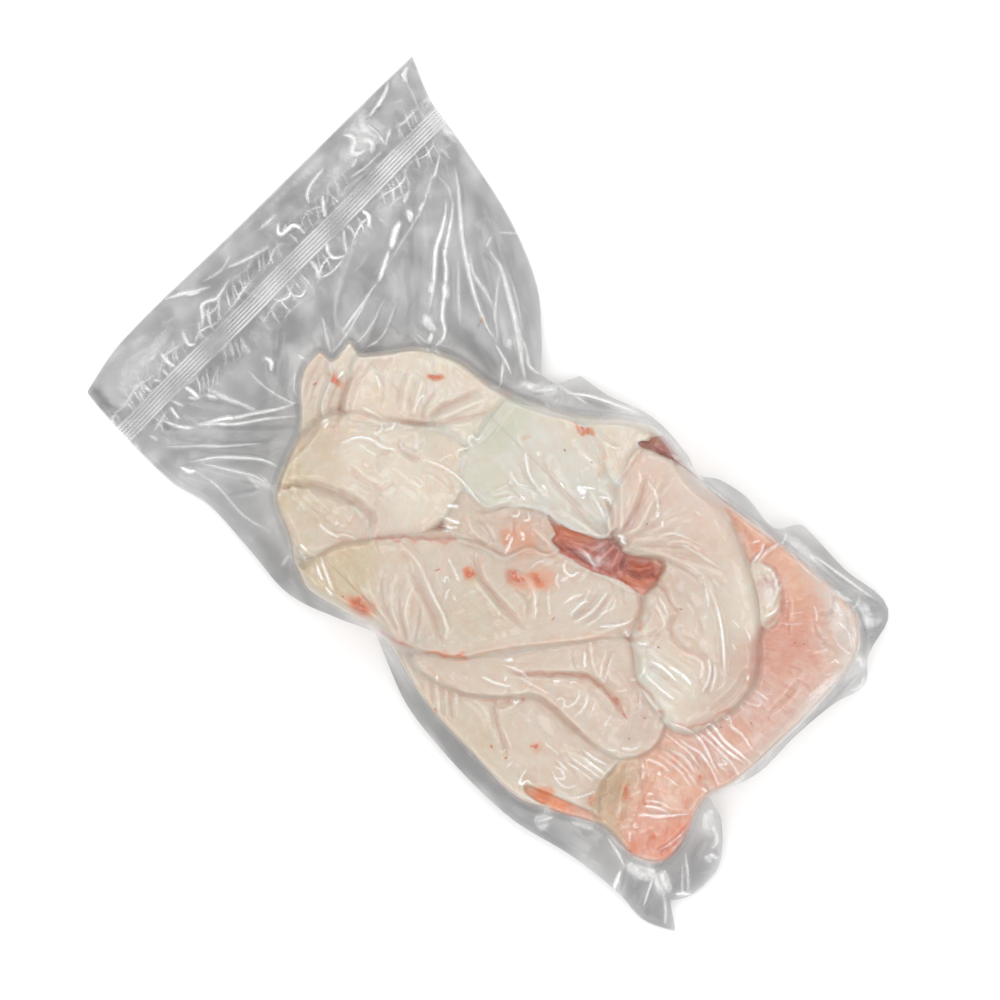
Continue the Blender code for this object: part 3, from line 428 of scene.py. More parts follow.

# Creases of the film over the food, in the same way: ridges with painted highlights along them.
FOOD_STREAKS = read_rows(Streak, """
    .6 .8  -48,9 -46.5,4 -50.5,3 -50,0 -47,-1 -49.5,-9 -44,-11; .4 .6  -49,-11 -52,-14 -52.5,-19
    .85 1.3  -33,-33.5 -28,-29; .8 1.2  -30,-39 -25,-37 -21,-35; .7 1  -28,-43 -24,-41 -20,-37
    .6 .8  -26,-45 -22,-42; .9 .8  -63,-101 -54,-105.5 -44,-110; .95 .9  -62,-105.5 -56,-108.5 -51,-110
    .95 .8  -49,-111.3 -42,-112.3; .8 1  -75,-105 -69,-104.5; .6 .8  -73,-107 -65,-109
    .7 .9  -98,-51 -95,-43 -89,-37.5 -80,-35.5 -74,-31; .45 .8  -60,-25 -50,-20 -38,-18 -18,-20
    .4 .8  -78,-26 -72,-28 -64,-25; .6 1  -112,-45 -114,-50; .7 1  -111,-47 -110,-51
    .85 1.2  -125,-21 -124,-26; .5 1  -86,-21 -84,-24 -86,-28; .5 .7  -90,-33 -86,-33
    .6 .7  -90,-27 -87,-30 -89,-33; .5 .6  -92,-43 -86,-43 -80,-41; .5 .7  -82,-49 -78,-49
    .4 .6  -60,-34.5 -50,-34 -51,-36.5 -59,-36.5; .45 .6  -104,-28 -96,-25.5 -88,-24
    .7 .7  -70,-81 -68,-84; .7 .7  -76,-89 -70,-90 -62,-87; .5 .9  -85,2 -84,-5 -81,-11
    .3 .8  -118,0 -112,6 -106,12; .5 .7  -111,-10 -107,-12 -103,-15; .3 .6  -96,24 -84,27 -68,29
    .55 .7  -24,19 -19,14 -12,10 -7,9; .4 .6  -22,16 -15,11 -8,9; .5 .8  -22,4 -14,3 -7,7
    .6 .7  -10,-1 -4,-1; .3 .7  -17,2 -18,-4 -21,-10; .3 .7  -11,-3 -13,-9; .8 .8  1,19.5 6,18.5
    .7 .7  -5,11.5 1,10.5; .6 .6  -19,23 -17,21; .95 2.2  9,24.5 13,24 16,26; .9 1  10,23 14,28 18,30.5
    .8 .7  16,21 17,24; .7 .8  22,28 26,31.5 31,30; .5 .7  18,25 26,25 34,21; .4 .6  24,29 31,26 38,21
    .5 .6  0,39 4,39.5 7,40; .45 .7  2,52 8,53 14,57; .4 .7  -10,58 -7,61 -9,64
    .95 1.3  44,20.5 46,21.5 48,20.5 51,21; .4 .9  42,36 45,30 46,24; .5 .8  27,54 31,52 34,49
    .5 .8  35,53 42,52 48,48 51,45; .7 1  50,46 53,43; .7 .8  56,44 58,41; .5 .6  73,42 77,45
    .4 .6  63,60 70,61; .35 .6  60,40 70,46 82,50; .4 .6  70,41 82,45 98,48; .35 .6  74,32 84,37 92,39
    .85 .9  108,33 118,26.5 127,19.5 137,10.5; .5 .8  95,37 102,32 108,28; .5 .7  121,33 127,32
    .5 .7  127,35 133,33 137,31; .4 .6  130,24 134,22; .7 .8  126,9 132,4 136,-2 137,-8
    .6 .7  130,9 136,4 140,-4; .5 .6  124,6 129,1 131,-3; .7 .7  148,18 150,15
    .85 1.4  114,-10 122,-8 131,-8; .9 1.2  104,-15.5 112,-13 123,-12.5; .6 .9  105,-18 107,-23 106,-25
    .65 1.1  108,-22.5 118,-22 130,-20.5; .5 .7  83,13 88,12 94,10; .45 .6  84,10 92,7 98,4
    .6 .7  92,-13 96,-11 99,-8; .6 .7  84,-13 88,-14; .6 .7  50,-27 51,-20 54,-14
    .65 .8  57,-28 56,-20 59,-15; .7 .8  62,-28 64,-16 62,-5; .6 .7  67,-18 70,-10 68,-4
    .7 .8  71,-22 76,-17 81,-10 83,-4; .75 .7  34,-8 36,-12 41,-13 43,-10 44,-6
    .7 .7  36,-16 38,-20 42,-22; .6 .6  41,-13 40,-19; .5 .7  32,-32 40,-38 45,-44
    .5 .7  38,-26 44,-32 50,-36; .4 .6  23,-26 24,-20 26,-16; .6 .6  -13,-53 -6,-55 2,-58
    .7 .6  0,-64 1,-68 3,-70; .6 .6  -8,-62 -5,-64 -6,-61 -2,-62; .5 .6  3,-65 8,-67
    .3 .8  8,-50.5 20,-51.5 29,-54; .35 1  -14,-68 -2,-74 8,-77 18,-83; .35 .8  -14,-76 -10,-88 -3,-96
    .25 .8  -20,-78 -16,-88 -8,-96; .7 .7  8,-30 6,-24 4,-19; .8 .8  5,-15 8,-15.5 10,-18
    .6 .7  2,-20 3,-24; .6 .7  -4,-7 -2,-10 -6,-13; .6 .7  0,-4 4,-7 2,-10; .85 1.1  48,-71 51,-68 49,-70
    .5 .8  50,-73 58,-69 66,-68; .7 .9  46,-86 54,-83 62,-78; .4 .7  60,-72 70,-69 80,-66
    .7 .6  56,-76 57,-79; .75 .9  76,-36 80,-40 83,-43; .5 .6  74,-30 80,-35
    .45 .6  88,-27 92,-34 96,-41; .45 .6  84,-28 90,-38 93,-42; .6 .8  75,-60 79,-57
    .5 .6  82,-55 85,-51; .55 .6  88,-52 92,-58 91,-64 88,-66; .6 .6  94,-51 97,-57 98,-66
    .5 .6  84,-67 86,-63 90,-66; .5 .6  100,-52 103,-58; .4 .6  111,-50 113,-59
    .5 .9  127,-60 132,-56 134,-52; .4 .8  122,-66 128,-62; .4 .6  118,-36 114,-31
    .3 .6  104,-40 108,-34; .5 .7  105,-30 107,-27; .8 1  114,-78 122,-77 133,-75.5
    .65 .8  113,-75 122,-74 130,-71; .6 .7  110,-83 120,-81 132,-79; .5 .6  112,-86 122,-84 130,-83
    .6 .7  108,-93 114,-91 117,-94 112,-97; .55 .7  110,-95 117,-97 122,-96 125,-90
    .5 .6  106,-89 116,-89; .5 .6  128,-98 132,-92 134,-86; .4 .6  96,-87 106,-86
    .9 .7  99,-104 101,-111 103,-112 104,-108 107,-109; .4 .6  91,-106 91,-112; .4 .6  84,-104 83,-108
    .6 .7  65,-82 69,-83 71,-79; .8 .8  28,-102.5 31,-105; .5 .6  42,-102 48,-106
    .4 .6  36,-103 41,-108; .9 .8  151,-20 153,-16 165,-17 176,-16 185,-15.5
    .9 .8  151,-19 156,-19.8 170,-19.8 182,-17.5; .6 .8  148,-24 160,-23 176,-23 188,-26
    .7 .8  136,-33 139,-30 148,-26.5 156,-26 168,-30 178,-33
    .7 .7  145,-34 153,-33 160,-31 174,-34 180,-37; .6 .7  138,-37 148,-36 156,-35 166,-37
    .55 .7  146,-42 156,-39 166,-41; .5 .7  146,-44 160,-43 172,-45; .5 .7  144,-48 158,-46 172,-48
    .7 .7  170,-26 174,-25 172,-28 177,-28; .8 .9  174,-44 178,-43; .6 .6  153,-8 158,-6 162,-9 168,-9
    .6 .6  156,3 160,2; .7 .8  155,-5 158,-7 154,-9; .5 .7  156,14 166,16
    .45 .6  155,10 164,11 160,7 155,6; .4 .6  158,13 168,12; .6 .8  158,-9 170,-8 179,-10
    .5 .7  152,-12 157,-13; .8 .8  159,-80 166,-73 174,-65 181,-56; .8 .8  158,-74 164,-69 172,-66
    .7 .7  157,-71 163,-66 170,-64; .7 .7  160,-77 167,-73 172,-68; .6 .7  155,-67 158,-65
    .6 .7  162,-82 163,-85 165,-83; .5 .8  140,-56 145,-60 148,-64; .6 .8  140,-55 148,-51 156,-50
    .5 .6  154,-54 165,-52; .9 .9  151,-54 153,-55.5; .5 .6  183,-62 184,-74 182,-84
    .4 .6  186,-66 187,-80; .5 .6  163,-88 167,-93; .7 .8  56,74 64,75.5 76,77; .8 .8  99,70 101,74
    .7 .7  104,74 106,70; .8 .9  105.5,72 107,61; .7 .7  110,81 108,74 108,66; .4 .6  90,66 94,66 92,68
    .5 .6  116,68 116,64; .5 .6  119,68 120,63; .5 .6  122,67 124,62; .55 .6  126,66 128,61
    .75 .8  133,56 134,52 132,46; .45 3.2  120,60 126,56 130,50; .5 .7  112,80 120,81 134,80
    .45 .7  146,70 152,67 154,64; .5 .6  175,57 179,57; .5 .6  175,54 177,56; .4 .6  181,52 178,47
    .5 .7  181.5,40 182,28; .45 .8  186,56 184,44; .5 .7  160,72 168,73 178,71
    .4 .7  162,68 172,64 184,66; .4 .6  134,62 137,58; .3 .6  141,57 146,64; .3 .6  150,60 146,54 140,50
""")

SEAL_LOW, SEAL_HIGH = -192.0, -181.0    # the heat seal across the header
SEAL_MIDDLE = (SEAL_LOW + SEAL_HIGH) / 2
SEAL_LINES = 6                          # ribs in the seal


# ---------------------------------------------------------------- curves and levels
def smooth_curve(points, closed=True, steps=CURVE_STEPS):
    """A smooth curve through the points, with a tight turn where two points are close."""
    knots = np.array(points, dtype=float)
    last, following = np.roll(knots, 1, axis=0), np.roll(knots, -1, axis=0)
    if not closed:
        last[0], following[-1] = knots[0], knots[-1]
    heading = following - last
    heading /= np.linalg.norm(heading, axis=1)[:, None]
    span = np.linalg.norm(following - knots, axis=1)[:, None]
    leave = heading * span
    arrive = np.roll(heading, -1, axis=0) * span
    stretches = []
    for share in np.arange(steps) / steps:
        square, cube = share ** 2, share ** 3
        stretches.append((2 * cube - 3 * square + 1) * knots + (cube - 2 * square + share) * leave
                         + (3 * square - 2 * cube) * following + (cube - square) * arrive)
    curve = np.stack(stretches, axis=1).reshape(-1, 2)
    return curve if closed else curve[:len(curve) - steps + 1]


BAG_LOOP = smooth_curve(BAG_EDGE)
FOOD_LOOP = smooth_curve(FOOD_EDGE)
COARSE = 2.0                # spacing of the grid that a loop's depth is read off
NEAR = 5.0                  # nearer the loop than this the depth is exact
MIDDLE = (BAG_LOOP.min(axis=0) + BAG_LOOP.max(axis=0)) / 2


def nearest_on_path(x, y, path):
    """Distance to a chain of points, above zero left of it, and the share of the chain passed."""
    nearest = np.full(x.shape, np.inf)
    passed = np.zeros(x.shape)
    side = np.ones(x.shape)
    for index, (start, end) in enumerate(zip(path[:-1], path[1:])):
        run = end - start
        dx, dy = x - start[0], y - start[1]
        along = np.clip((dx * run[0] + dy * run[1]) / max(run @ run, TINY), 0, 1)
        gap = np.hypot(dx - along * run[0], dy - along * run[1])
        closer = gap < nearest
        passed[closer] = (index + along[closer]) / (len(path) - 1)
        side[closer] = np.where(run[0] * dy - run[1] * dx < 0, -1, 1)[closer]
        nearest[closer] = gap[closer]
    return nearest * side, passed


def depth_inside(x, y, loop):
    """Distance from a closed loop, above zero inside it and below zero outside."""
    closed = np.vstack([loop, loop[:1]])
    inside = np.zeros(x.shape, dtype=bool)
    for (ax, ay), (bx, by) in zip(closed[:-1], closed[1:]):
        spans = (ay > y) != (by > y)
        rise = by - ay if by != ay else TINY
        inside ^= spans & (x < ax + (y - ay) * (bx - ax) / rise)
    return np.where(inside, 1, -1) * np.abs(nearest_on_path(x, y, closed)[0])


def read_grid(levels, column, row):
    """The level between a grid's points."""
    left, below = column.astype(int), row.astype(int)
    east, north = column - left, row - below
    lower = levels[below, left] * (1 - east) + levels[below, left + 1] * east
    upper = levels[below + 1, left] * (1 - east) + levels[below + 1, left + 1] * east
    return lower * (1 - north) + upper * north


def outline_depth(loop):
    """A quick measure of the depth inside a long loop: exact near it, read off a grid elsewhere."""
    across = np.arange(MAP_LOW[0] - 10, MAP_HIGH[0] + 10, COARSE)
    along = np.arange(MAP_LOW[1] - 10, MAP_HIGH[1] + 10, COARSE)
    grid = depth_inside(*np.meshgrid(across, along), loop)

    def depth(x, y):
        column = np.clip((x - across[0]) / COARSE, 0, len(across) - 1.01)
        row = np.clip((y - along[0]) / COARSE, 0, len(along) - 1.01)
        found = read_grid(grid, column, row)
        near = np.abs(found) < NEAR
        found[near] = depth_inside(x[near], y[near], loop)
        return found

    return depth


def rounded_rim(depth, width):
    """Quarter ellipse from 0 at an edge to 1 at the given depth inside it."""
    share = np.clip(depth / width, 0, 1)
    return np.sqrt(1 - (1 - share) ** 2)


def bulging_side(depth, width):
    """Rise from 0 at the heap's edge to 1 at the given depth, steepest at the edge."""
    return (1 - (1 - np.clip(depth / width, 0, 1)) ** HEAP_BULGE) ** (1 / HEAP_BULGE)


def soft_step(value, low, high):
    """0 below low and 1 above high, with a smooth change between them."""
    share = np.clip((value - low) / (high - low), 0, 1)
    return share * share * (3 - 2 * share)


def patch_share(patch, x, y, low=0.2, high=1.2):
    """1 in the middle of an oval patch, 0 outside it."""
    turn = math.radians(patch.turn)
    dx, dy = x - patch.place[0], y - patch.place[1]
    along = dx * math.cos(turn) + dy * math.sin(turn)
    across = dy * math.cos(turn) - dx * math.sin(turn)
    return 1 - soft_step(np.hypot(along / patch.size[0], across / patch.size[1]), low, high)


def mean_around(levels):
    """The mean of the four neighbours of each point that has them."""
    return (levels[:-2, 1:-1] + levels[2:, 1:-1] + levels[1:-1, :-2] + levels[1:-1, 2:]) / 4


def smoothed(levels, rounds):
    """Levels that are evened out over their neighbours."""
    levels = levels.copy()
    for _ in range(rounds):
        levels[1:-1, 1:-1] = mean_around(levels)
    return levels


def ripple(x, y, size, seed, count=7):
    """Slow waves of about the given size, from -1 to 1."""
    draw = np.random.RandomState(seed)
    total = np.zeros(np.shape(x))
    for _ in range(count):
        angle = draw.uniform(0, math.pi)
        length = size * draw.uniform(0.7, 1.6)
        phase = draw.uniform(0, 2 * math.pi)
        total += np.sin(2 * math.pi * (x * math.cos(angle) + y * math.sin(angle)) / length + phase)
    return total / (0.6 * count)


def crinkle(x, y, size, seed, count=6):
    """Sharp-crested waves of about the given size, from 0 to 1, as in creased film."""
    draw = np.random.RandomState(seed)
    bent_x = x + size * 0.35 * ripple(x, y, 2.2 * size, seed + 1)
    bent_y = y + size * 0.35 * ripple(x, y, 2.2 * size, seed + 2)
    total = np.zeros(np.shape(x))
    for _ in range(count):
        angle = draw.uniform(0, math.pi)
        length = size * draw.uniform(0.7, 1.8)
        phase = draw.uniform(0, 2 * math.pi)
        wave = np.sin(2 * math.pi * (bent_x * math.cos(angle) + bent_y * math.sin(angle)) / length + phase)
        total = np.maximum(total, (1 - np.abs(wave)) ** 2 * draw.uniform(0.4, 1))
    return total


class LevelMap:
    """Levels on a square grid over the plan, which ridges are drawn into and meshes read from."""

    def __init__(self):
        across = np.arange(MAP_LOW[0], MAP_HIGH[0], MAP_STEP)
        along = np.arange(MAP_LOW[1], MAP_HIGH[1], MAP_STEP)
        self.x, self.y = np.meshgrid(across, along)
        self.z = np.zeros(self.x.shape)

    def window(self, points, reach):
        """The part of the grid within reach of some points."""
        low = (np.min(points, axis=0) - reach - MAP_LOW) / MAP_STEP
        high = (np.max(points, axis=0) + reach - MAP_LOW) / MAP_STEP + 1
        low = np.maximum(low, 0).astype(int)
        high = np.maximum(high, 1).astype(int)
        return slice(low[1], high[1]), slice(low[0], high[0])

    def beside(self, path, reach):
        """The part of the grid by a path, the distance to it there, and the place along it, -1 to 1."""
        curve = smooth_curve(path, closed=False)
        part = self.window(curve, reach)
        gap, passed = nearest_on_path(self.x[part], self.y[part], curve)
        return part, gap, 2 * passed - 1

    def raise_fold(self, fold, share=1.0):
        """Adds one ridge or groove, which fades out at its ends."""
        part, gap, along = self.beside(fold.path, 3 * fold.width)
        fading = 1 - along ** FOLD_FADE
        self.z[part] += share * fold.height * fading * np.exp(-(gap / fold.width) ** 2)

    def draw_streak(self, streak, least):
        """Keeps the strength of one line of creased film where it is the strongest so far; this strength is
        painted highlight on a bright line and painted shade on a dark trough.
        """
        part, gap, along = self.beside(streak.path, 3 * streak.width)
        width = np.maximum(streak.width * (0.85 - 0.5 * along ** 2), least)
        fading = 1 - along ** FOLD_FADE
        power = 2 if streak.width < 1.3 else 4
        amount = abs(streak.strength) * fading * np.exp(-np.abs(gap / width) ** power)
        self.z[part] = np.maximum(self.z[part], amount)

    def raise_flap(self, flap):
        """Adds the edge of a sheet: steep on one side, with a narrow groove under it."""
        part, gap, along = self.beside(flap.path, 2.5 * flap.width)
        fading = 1 - along ** FLAP_FADE
        rise = soft_step(gap, -1.4, 0.9) * np.exp(-np.maximum(gap, 0) / flap.width)
        groove = np.exp(-((gap + 1.5) / 1.0) ** 2)
        self.z[part] += fading * (flap.height * rise - flap.groove * groove)

    def sink_pit(self, pit):
        """Lowers the level inside a closed edge."""
        curve = smooth_curve(pit.edge)
        part = self.window(curve, 4)
        depth = depth_inside(self.x[part], self.y[part], curve)
        self.z[part] -= pit.depth * soft_step(depth, -1.0, 2.2)

    def at(self, x, y):
        """The level at any place, read between the grid's points."""
        column = np.clip((x - MAP_LOW[0]) / MAP_STEP, 0, self.z.shape[1] - 1.001)
        row = np.clip((y - MAP_LOW[1]) / MAP_STEP, 0, self.z.shape[0] - 1.001)
        return read_grid(self.z, column, row)


def lobe_depth(lobe, x, y):
    """Depth inside a lobe's rim."""
    return depth_inside(x, y, smooth_curve(lobe.edge)) + SPREAD


def lobe_level(lobe, depth, x, y):
    """Top of one lobe: a rounded rim, a gently uneven top and a skirt that falls away outside."""
    middle = np.mean(lobe.edge, axis=0)
    seed = len(lobe.name) * 7 + int(lobe.crest)
    lean = lobe.lean_x * (x - middle[0]) + lobe.lean_y * (y - middle[1])
    uneven = 0.6 * ripple(x, y, 30, seed) + 0.25 * ripple(x, y, 11, seed + 5)
    level = lobe.crest + lean + uneven - EASE * lobe.drop * (1 - rounded_rim(depth, EASE * lobe.round))
    return level + SKIRT_SLOPE * np.minimum(depth, 0)


def heap_side(food_depth):
    """Highest level that the heap's rounded side allows."""
    return FIN_RISE + (HEAP_TOP - FIN_RISE) * bulging_side(food_depth, HEAP_ROUND)


def heap_belly(food_depth):
    """Level of the heap's rounded underside."""
    climb = FIN_CLEAR + FIN_RISE - TABLE_GAP
    return TABLE_GAP + climb * (1 - rounded_rim(food_depth, UNDER_ROUND))


def direction(x, y, fans, lines):
    """The way that wrinkles run at each place, blended from fans and lines near it."""
    total = np.zeros(np.shape(x), dtype=complex)
    for reach, place in fans:
        dx, dy = x - place[0], y - place[1]
        weight = np.exp(-(dx ** 2 + dy ** 2) / reach ** 2)
        total += 1.5 * weight * np.exp(2j * np.arctan2(dy, dx))
    for angle, reach, place in lines:
        weight = np.exp(-((x - place[0]) ** 2 + (y - place[1]) ** 2) / reach ** 2)
        total += (weight + 1e-6) * np.exp(2j * math.radians(angle))
    return np.angle(total) / 2


def flowing_folds(draw, count, low, high, length, height, width, fans, lines):
    """Wrinkles that start all over a box and follow the way the fans and lines set."""
    x = draw.uniform(low[0], high[0], count)
    y = draw.uniform(low[1], high[1], count)
    reach = length * draw.uniform(0.45, 1.4, count)
    heading = direction(x, y, fans, lines) + draw.normal(0, 0.12, count)
    stops = 5
    chain = [np.stack([x, y], axis=1)]
    for _ in range(stops - 1):
        turn = direction(x, y, fans, lines)
        turn = np.where(np.cos(turn - heading) < 0, turn + math.pi, turn)
        heading = heading + 0.8 * np.arctan2(np.sin(turn - heading), np.cos(turn - heading))
        heading += draw.normal(0, 0.07, count)
        x = x + reach / (stops - 1) * np.cos(heading)
        y = y + reach / (stops - 1) * np.sin(heading)
        chain.append(np.stack([x, y], axis=1))
    chain = np.stack(chain, axis=1)
    tall = height * np.exp(draw.normal(0, 0.45, count))
    wide = width * draw.uniform(0.8, 1.3, count)
    return [Fold(tall[k], wide[k], chain[k]) for k in range(count)]


# Which way wrinkles run: out from the fans, each a reach and a place, and along the lines, each an
# angle, a reach and a place.
FAT_FANS = read_rows(Fan, """
    34  45,18; 22  -71,-8; 36  8,-101; 15  -50,40; 16  -103,-89
""")
FAT_LINES = read_rows(Run, """
    72 12  -137,-30; 66 12  -124,-18; -48 20  -118,-55; 42 18  -88,-45; 10 14  -62,-42; -18 20  -82,-92
    -14 24  -20,-76; 40 22  24,-58; 64 18  60,-25; -28 18  -30,10; 62 12  6,62; 8 16  100,-8; 12 14  112,-22
    108 14  74,-62; 100 16  112,-52; 20 12  100,-38; 28 22  50,-104; -8 20  112,-88; 34 14  162,-60
    48 14  172,-84; 80 10  142,-80; -8 16  168,-26; 40 14  166,6; 28 22  160,44; 8 22  120,78; 88 10  184,20
    30 12  172,70; -40 22  130,20; -28 18  90,50; 80 14  140,-10; 20 10  26,30
""")


def draw_maps():
    """The maps that all the pieces share: pits, the food's top, its depth, highest lobe and the hollows
    that get painted shade.
    """
    folds, pits, food, depths, best, shade_in_hollows = (LevelMap() for _ in range(6))
    for flap in FLAPS:
        folds.raise_flap(flap)
    for fold in FOOD_FOLDS:
        folds.raise_fold(fold, 1.3 if fold.width >= 1.8 else 1.0)
    draw = np.random.RandomState(3)
    fine = flowing_folds(draw, 120, (-142, -118), (190, 84), 16, 0.16, 1.2, FAT_FANS, FAT_LINES)
    fine += flowing_folds(draw, 26, (25, -2), (68, 40), 20, 0.30, 1.2, FAT_FANS, FAT_LINES)
    for fold in fine:
        folds.raise_fold(fold, draw.choice([-1, 1]))
    for pit in PITS:
        pits.sink_pit(pit)

    depths.z = FOOD_DEPTH(food.x, food.y)
    best.z = np.full(food.x.shape, BASE_TOP)
    total = np.full(food.x.shape, math.exp((BASE_TOP - HEAP_TOP) / SOFT))
    for lobe in LOBES:
        part = food.window(smooth_curve(lobe.edge), SPREAD + 14)
        depth = lobe_depth(lobe, food.x[part], food.y[part])
        level = lobe_level(lobe, depth, food.x[part], food.y[part]) + pit_share(lobe) * pits.z[part]
        best.z[part] = np.maximum(best.z[part], level)
        total[part] += np.exp((level - HEAP_TOP) / SOFT)
    top = HEAP_TOP + SOFT * np.log(total)
    food.z = np.minimum(top + folds.z, heap_side(depths.z))
    # Painted shade: how far each place lies below its smoothed surroundings, used to tint the food's
    # hollows a warm shadow colour.
    shade_in_hollows.z = soft_step(smoothed(food.z, 60) - food.z, 0.28, 1.9) * soft_step(depths.z, 4, 12)
    return pits, food, depths, best, shade_in_hollows


def pit_share(lobe):
    """Pits are sunk in the fat but not in the lean that fills them."""
    return 0 if lobe.finish == "red" else 1


FOOD_DEPTH = outline_depth(FOOD_LOOP)
BAG_DEPTH = outline_depth(BAG_LOOP)
PIT_MAP, FOOD_MAP, DEPTH_MAP, BEST_MAP, HOLLOW_SHADE_MAP = draw_maps()


# ---------------------------------------------------------------- meshes
def cut_sheet(depth_at, low, high, step):
    """Points and four-sided cells of a flat sheet that is cut where a depth falls to zero."""
    x, y = np.meshgrid(np.arange(low[0], high[0] + step, step), np.arange(low[1], high[1] + step, step))
    inside = depth_at(x, y) > 0
    kept = inside[:-1, :-1] | inside[1:, :-1] | inside[:-1, 1:] | inside[1:, 1:]
    numbers = np.arange(x.size).reshape(x.shape)
    corners = [numbers[:-1, :-1], numbers[:-1, 1:], numbers[1:, 1:], numbers[1:, :-1]]
    cells = np.stack(corners, axis=-1)[kept]
    used, cells = np.unique(cells, return_inverse=True)
    cells = cells.reshape(-1, 4)
    x, y, inside = x.ravel()[used], y.ravel()[used], inside.ravel()[used]

    loose = ~inside
    nudge = 0.05 * step
    for _ in range(3):
        px, py = x[loose], y[loose]
        depth = depth_at(px, py)
        slope_x = (depth_at(px + nudge, py) - depth_at(px - nudge, py)) / (2 * nudge)
        slope_y = (depth_at(px, py + nudge) - depth_at(px, py - nudge)) / (2 * nudge)
        steep = np.maximum(slope_x ** 2 + slope_y ** 2, 0.25)
        x[loose] = px - depth * slope_x / steep
        y[loose] = py - depth * slope_y / steep
    return x, y, cells


def rim_edges(cells):
    """The directed edges that only one cell has."""
    pairs = np.concatenate([np.stack([cells[:, k], cells[:, (k + 1) % 4]], axis=1) for k in range(4)])
    keys = np.sort(pairs, axis=1)
    _, where, counts = np.unique(keys, axis=0, return_inverse=True, return_counts=True)
    return pairs[counts[where.ravel()] == 1]


def place_mesh(name, points, faces, material):
    """A smooth mesh object from points in the plan's millimetres, riding on the pack."""
    mesh = bpy.data.meshes.new(name)
    centred = (points - [MIDDLE[0], MIDDLE[1], 0]) * MM
    mesh.from_pydata(centred.tolist(), [], faces.tolist() if hasattr(faces, "tolist") else faces)
    mesh.validate()
    mesh.shade_smooth()
    mesh.materials.append(material)
    piece = bpy.data.objects.new(name, mesh)
    bpy.context.scene.collection.objects.link(piece)
    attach(piece, BODY)
    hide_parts(NODE)
    return piece


def closed_slab(name, sheet, top, under, material):
    """A closed piece between two levels over one flat sheet."""
    x, y, cells = sheet
    count = len(x)
    points = np.concatenate([np.stack([x, y, top], axis=1), np.stack([x, y, under], axis=1)])
    rim = rim_edges(cells)
    walls = np.stack([rim[:, 1], rim[:, 0], rim[:, 0] + count, rim[:, 1] + count], axis=1)
    faces = np.concatenate([cells, cells[:, ::-1] + count, walls])
    return place_mesh(name, points, faces, material)


def store_colour(piece, name, values):
    """Keeps a colour and a share for each point of a piece."""
    layer = piece.data.color_attributes.new(name, "FLOAT_COLOR", "POINT")
    layer.data.foreach_set("color", values.astype(np.float32).ravel())


def store_value(piece, name, values):
    """Keeps a number for each point of a piece."""
    layer = piece.data.attributes.new(name, "FLOAT", "POINT")
    layer.data.foreach_set("value", values.astype(np.float32))


# ---------------------------------------------------------------- materials
class Recipe:
    """A material's nodes, added and linked one after another."""

    def __init__(self, name):
        self.material = bpy.data.materials.new(name)
        self.material.use_nodes = True
        self.tree = self.material.node_tree
        self.tree.nodes.clear()
        self.output = self.add("ShaderNodeOutputMaterial")

    def add(self, kind, inputs=None, **settings):
        """A node with its settings and inputs; an input is a value or another node's output."""
        node = self.tree.nodes.new(kind)
        for key, value in settings.items():
            setattr(node, key, value)
        for key, value in (inputs or {}).items():
            if isinstance(value, bpy.types.NodeSocket):
                self.tree.links.new(value, node.inputs[key])
            else:
                node.inputs[key].default_value = value
        return node

    def noise(self, scale, detail=3.0, roughness=0.5, distortion=0.0, stretch=(1, 1, 1)):
        """Noise in the piece's own metres, stretched along its axes."""
        place = self.add("ShaderNodeTexCoord").outputs["Object"]
        spread = self.add("ShaderNodeMapping", {"Vector": place, "Scale": stretch}).outputs["Vector"]
        node = self.add("ShaderNodeTexNoise", {
            "Vector": spread, "Scale": scale, "Detail": detail, "Roughness": roughness,
            "Distortion": distortion})
        return node.outputs["Fac"]

    def ramp(self, value, low, high):
        """0 below low and 1 above high."""
        node = self.add("ShaderNodeMapRange", {"Value": value, "From Min": low, "From Max": high},
                        interpolation_type="SMOOTHSTEP")
        return node.outputs["Result"]

    def scaled(self, value, factor):
        """A value times a number."""
        return self.add("ShaderNodeMath", {0: value, 1: factor}, operation="MULTIPLY").outputs["Value"]

    def blend(self, share, first, second, mode="MIX"):
        """Two colours mixed by a share."""
        node = self.add("ShaderNodeMix", {"Factor": share}, data_type="RGBA", blend_type=mode)
        for socket, value in ((node.inputs[6], first), (node.inputs[7], second)):
            if isinstance(value, bpy.types.NodeSocket):
                self.tree.links.new(value, socket)
            else:
                socket.default_value = value
        return node.outputs[2]

    def bump(self, height, strength, distance, normal=None):
        """A surface normal that follows a height."""
        inputs = {"Height": height, "Strength": strength, "Distance": distance}
        if normal is not None:
            inputs["Normal"] = normal
        return self.add("ShaderNodeBump", inputs).outputs["Normal"]

    def finish(self, shader):
        """Sets the surface and gives the material."""
        self.tree.links.new(shader, self.output.inputs["Surface"])
        return self.material


def solid_colour(colour):
    """A colour with full cover."""
    return (colour[0], colour[1], colour[2], 1.0)


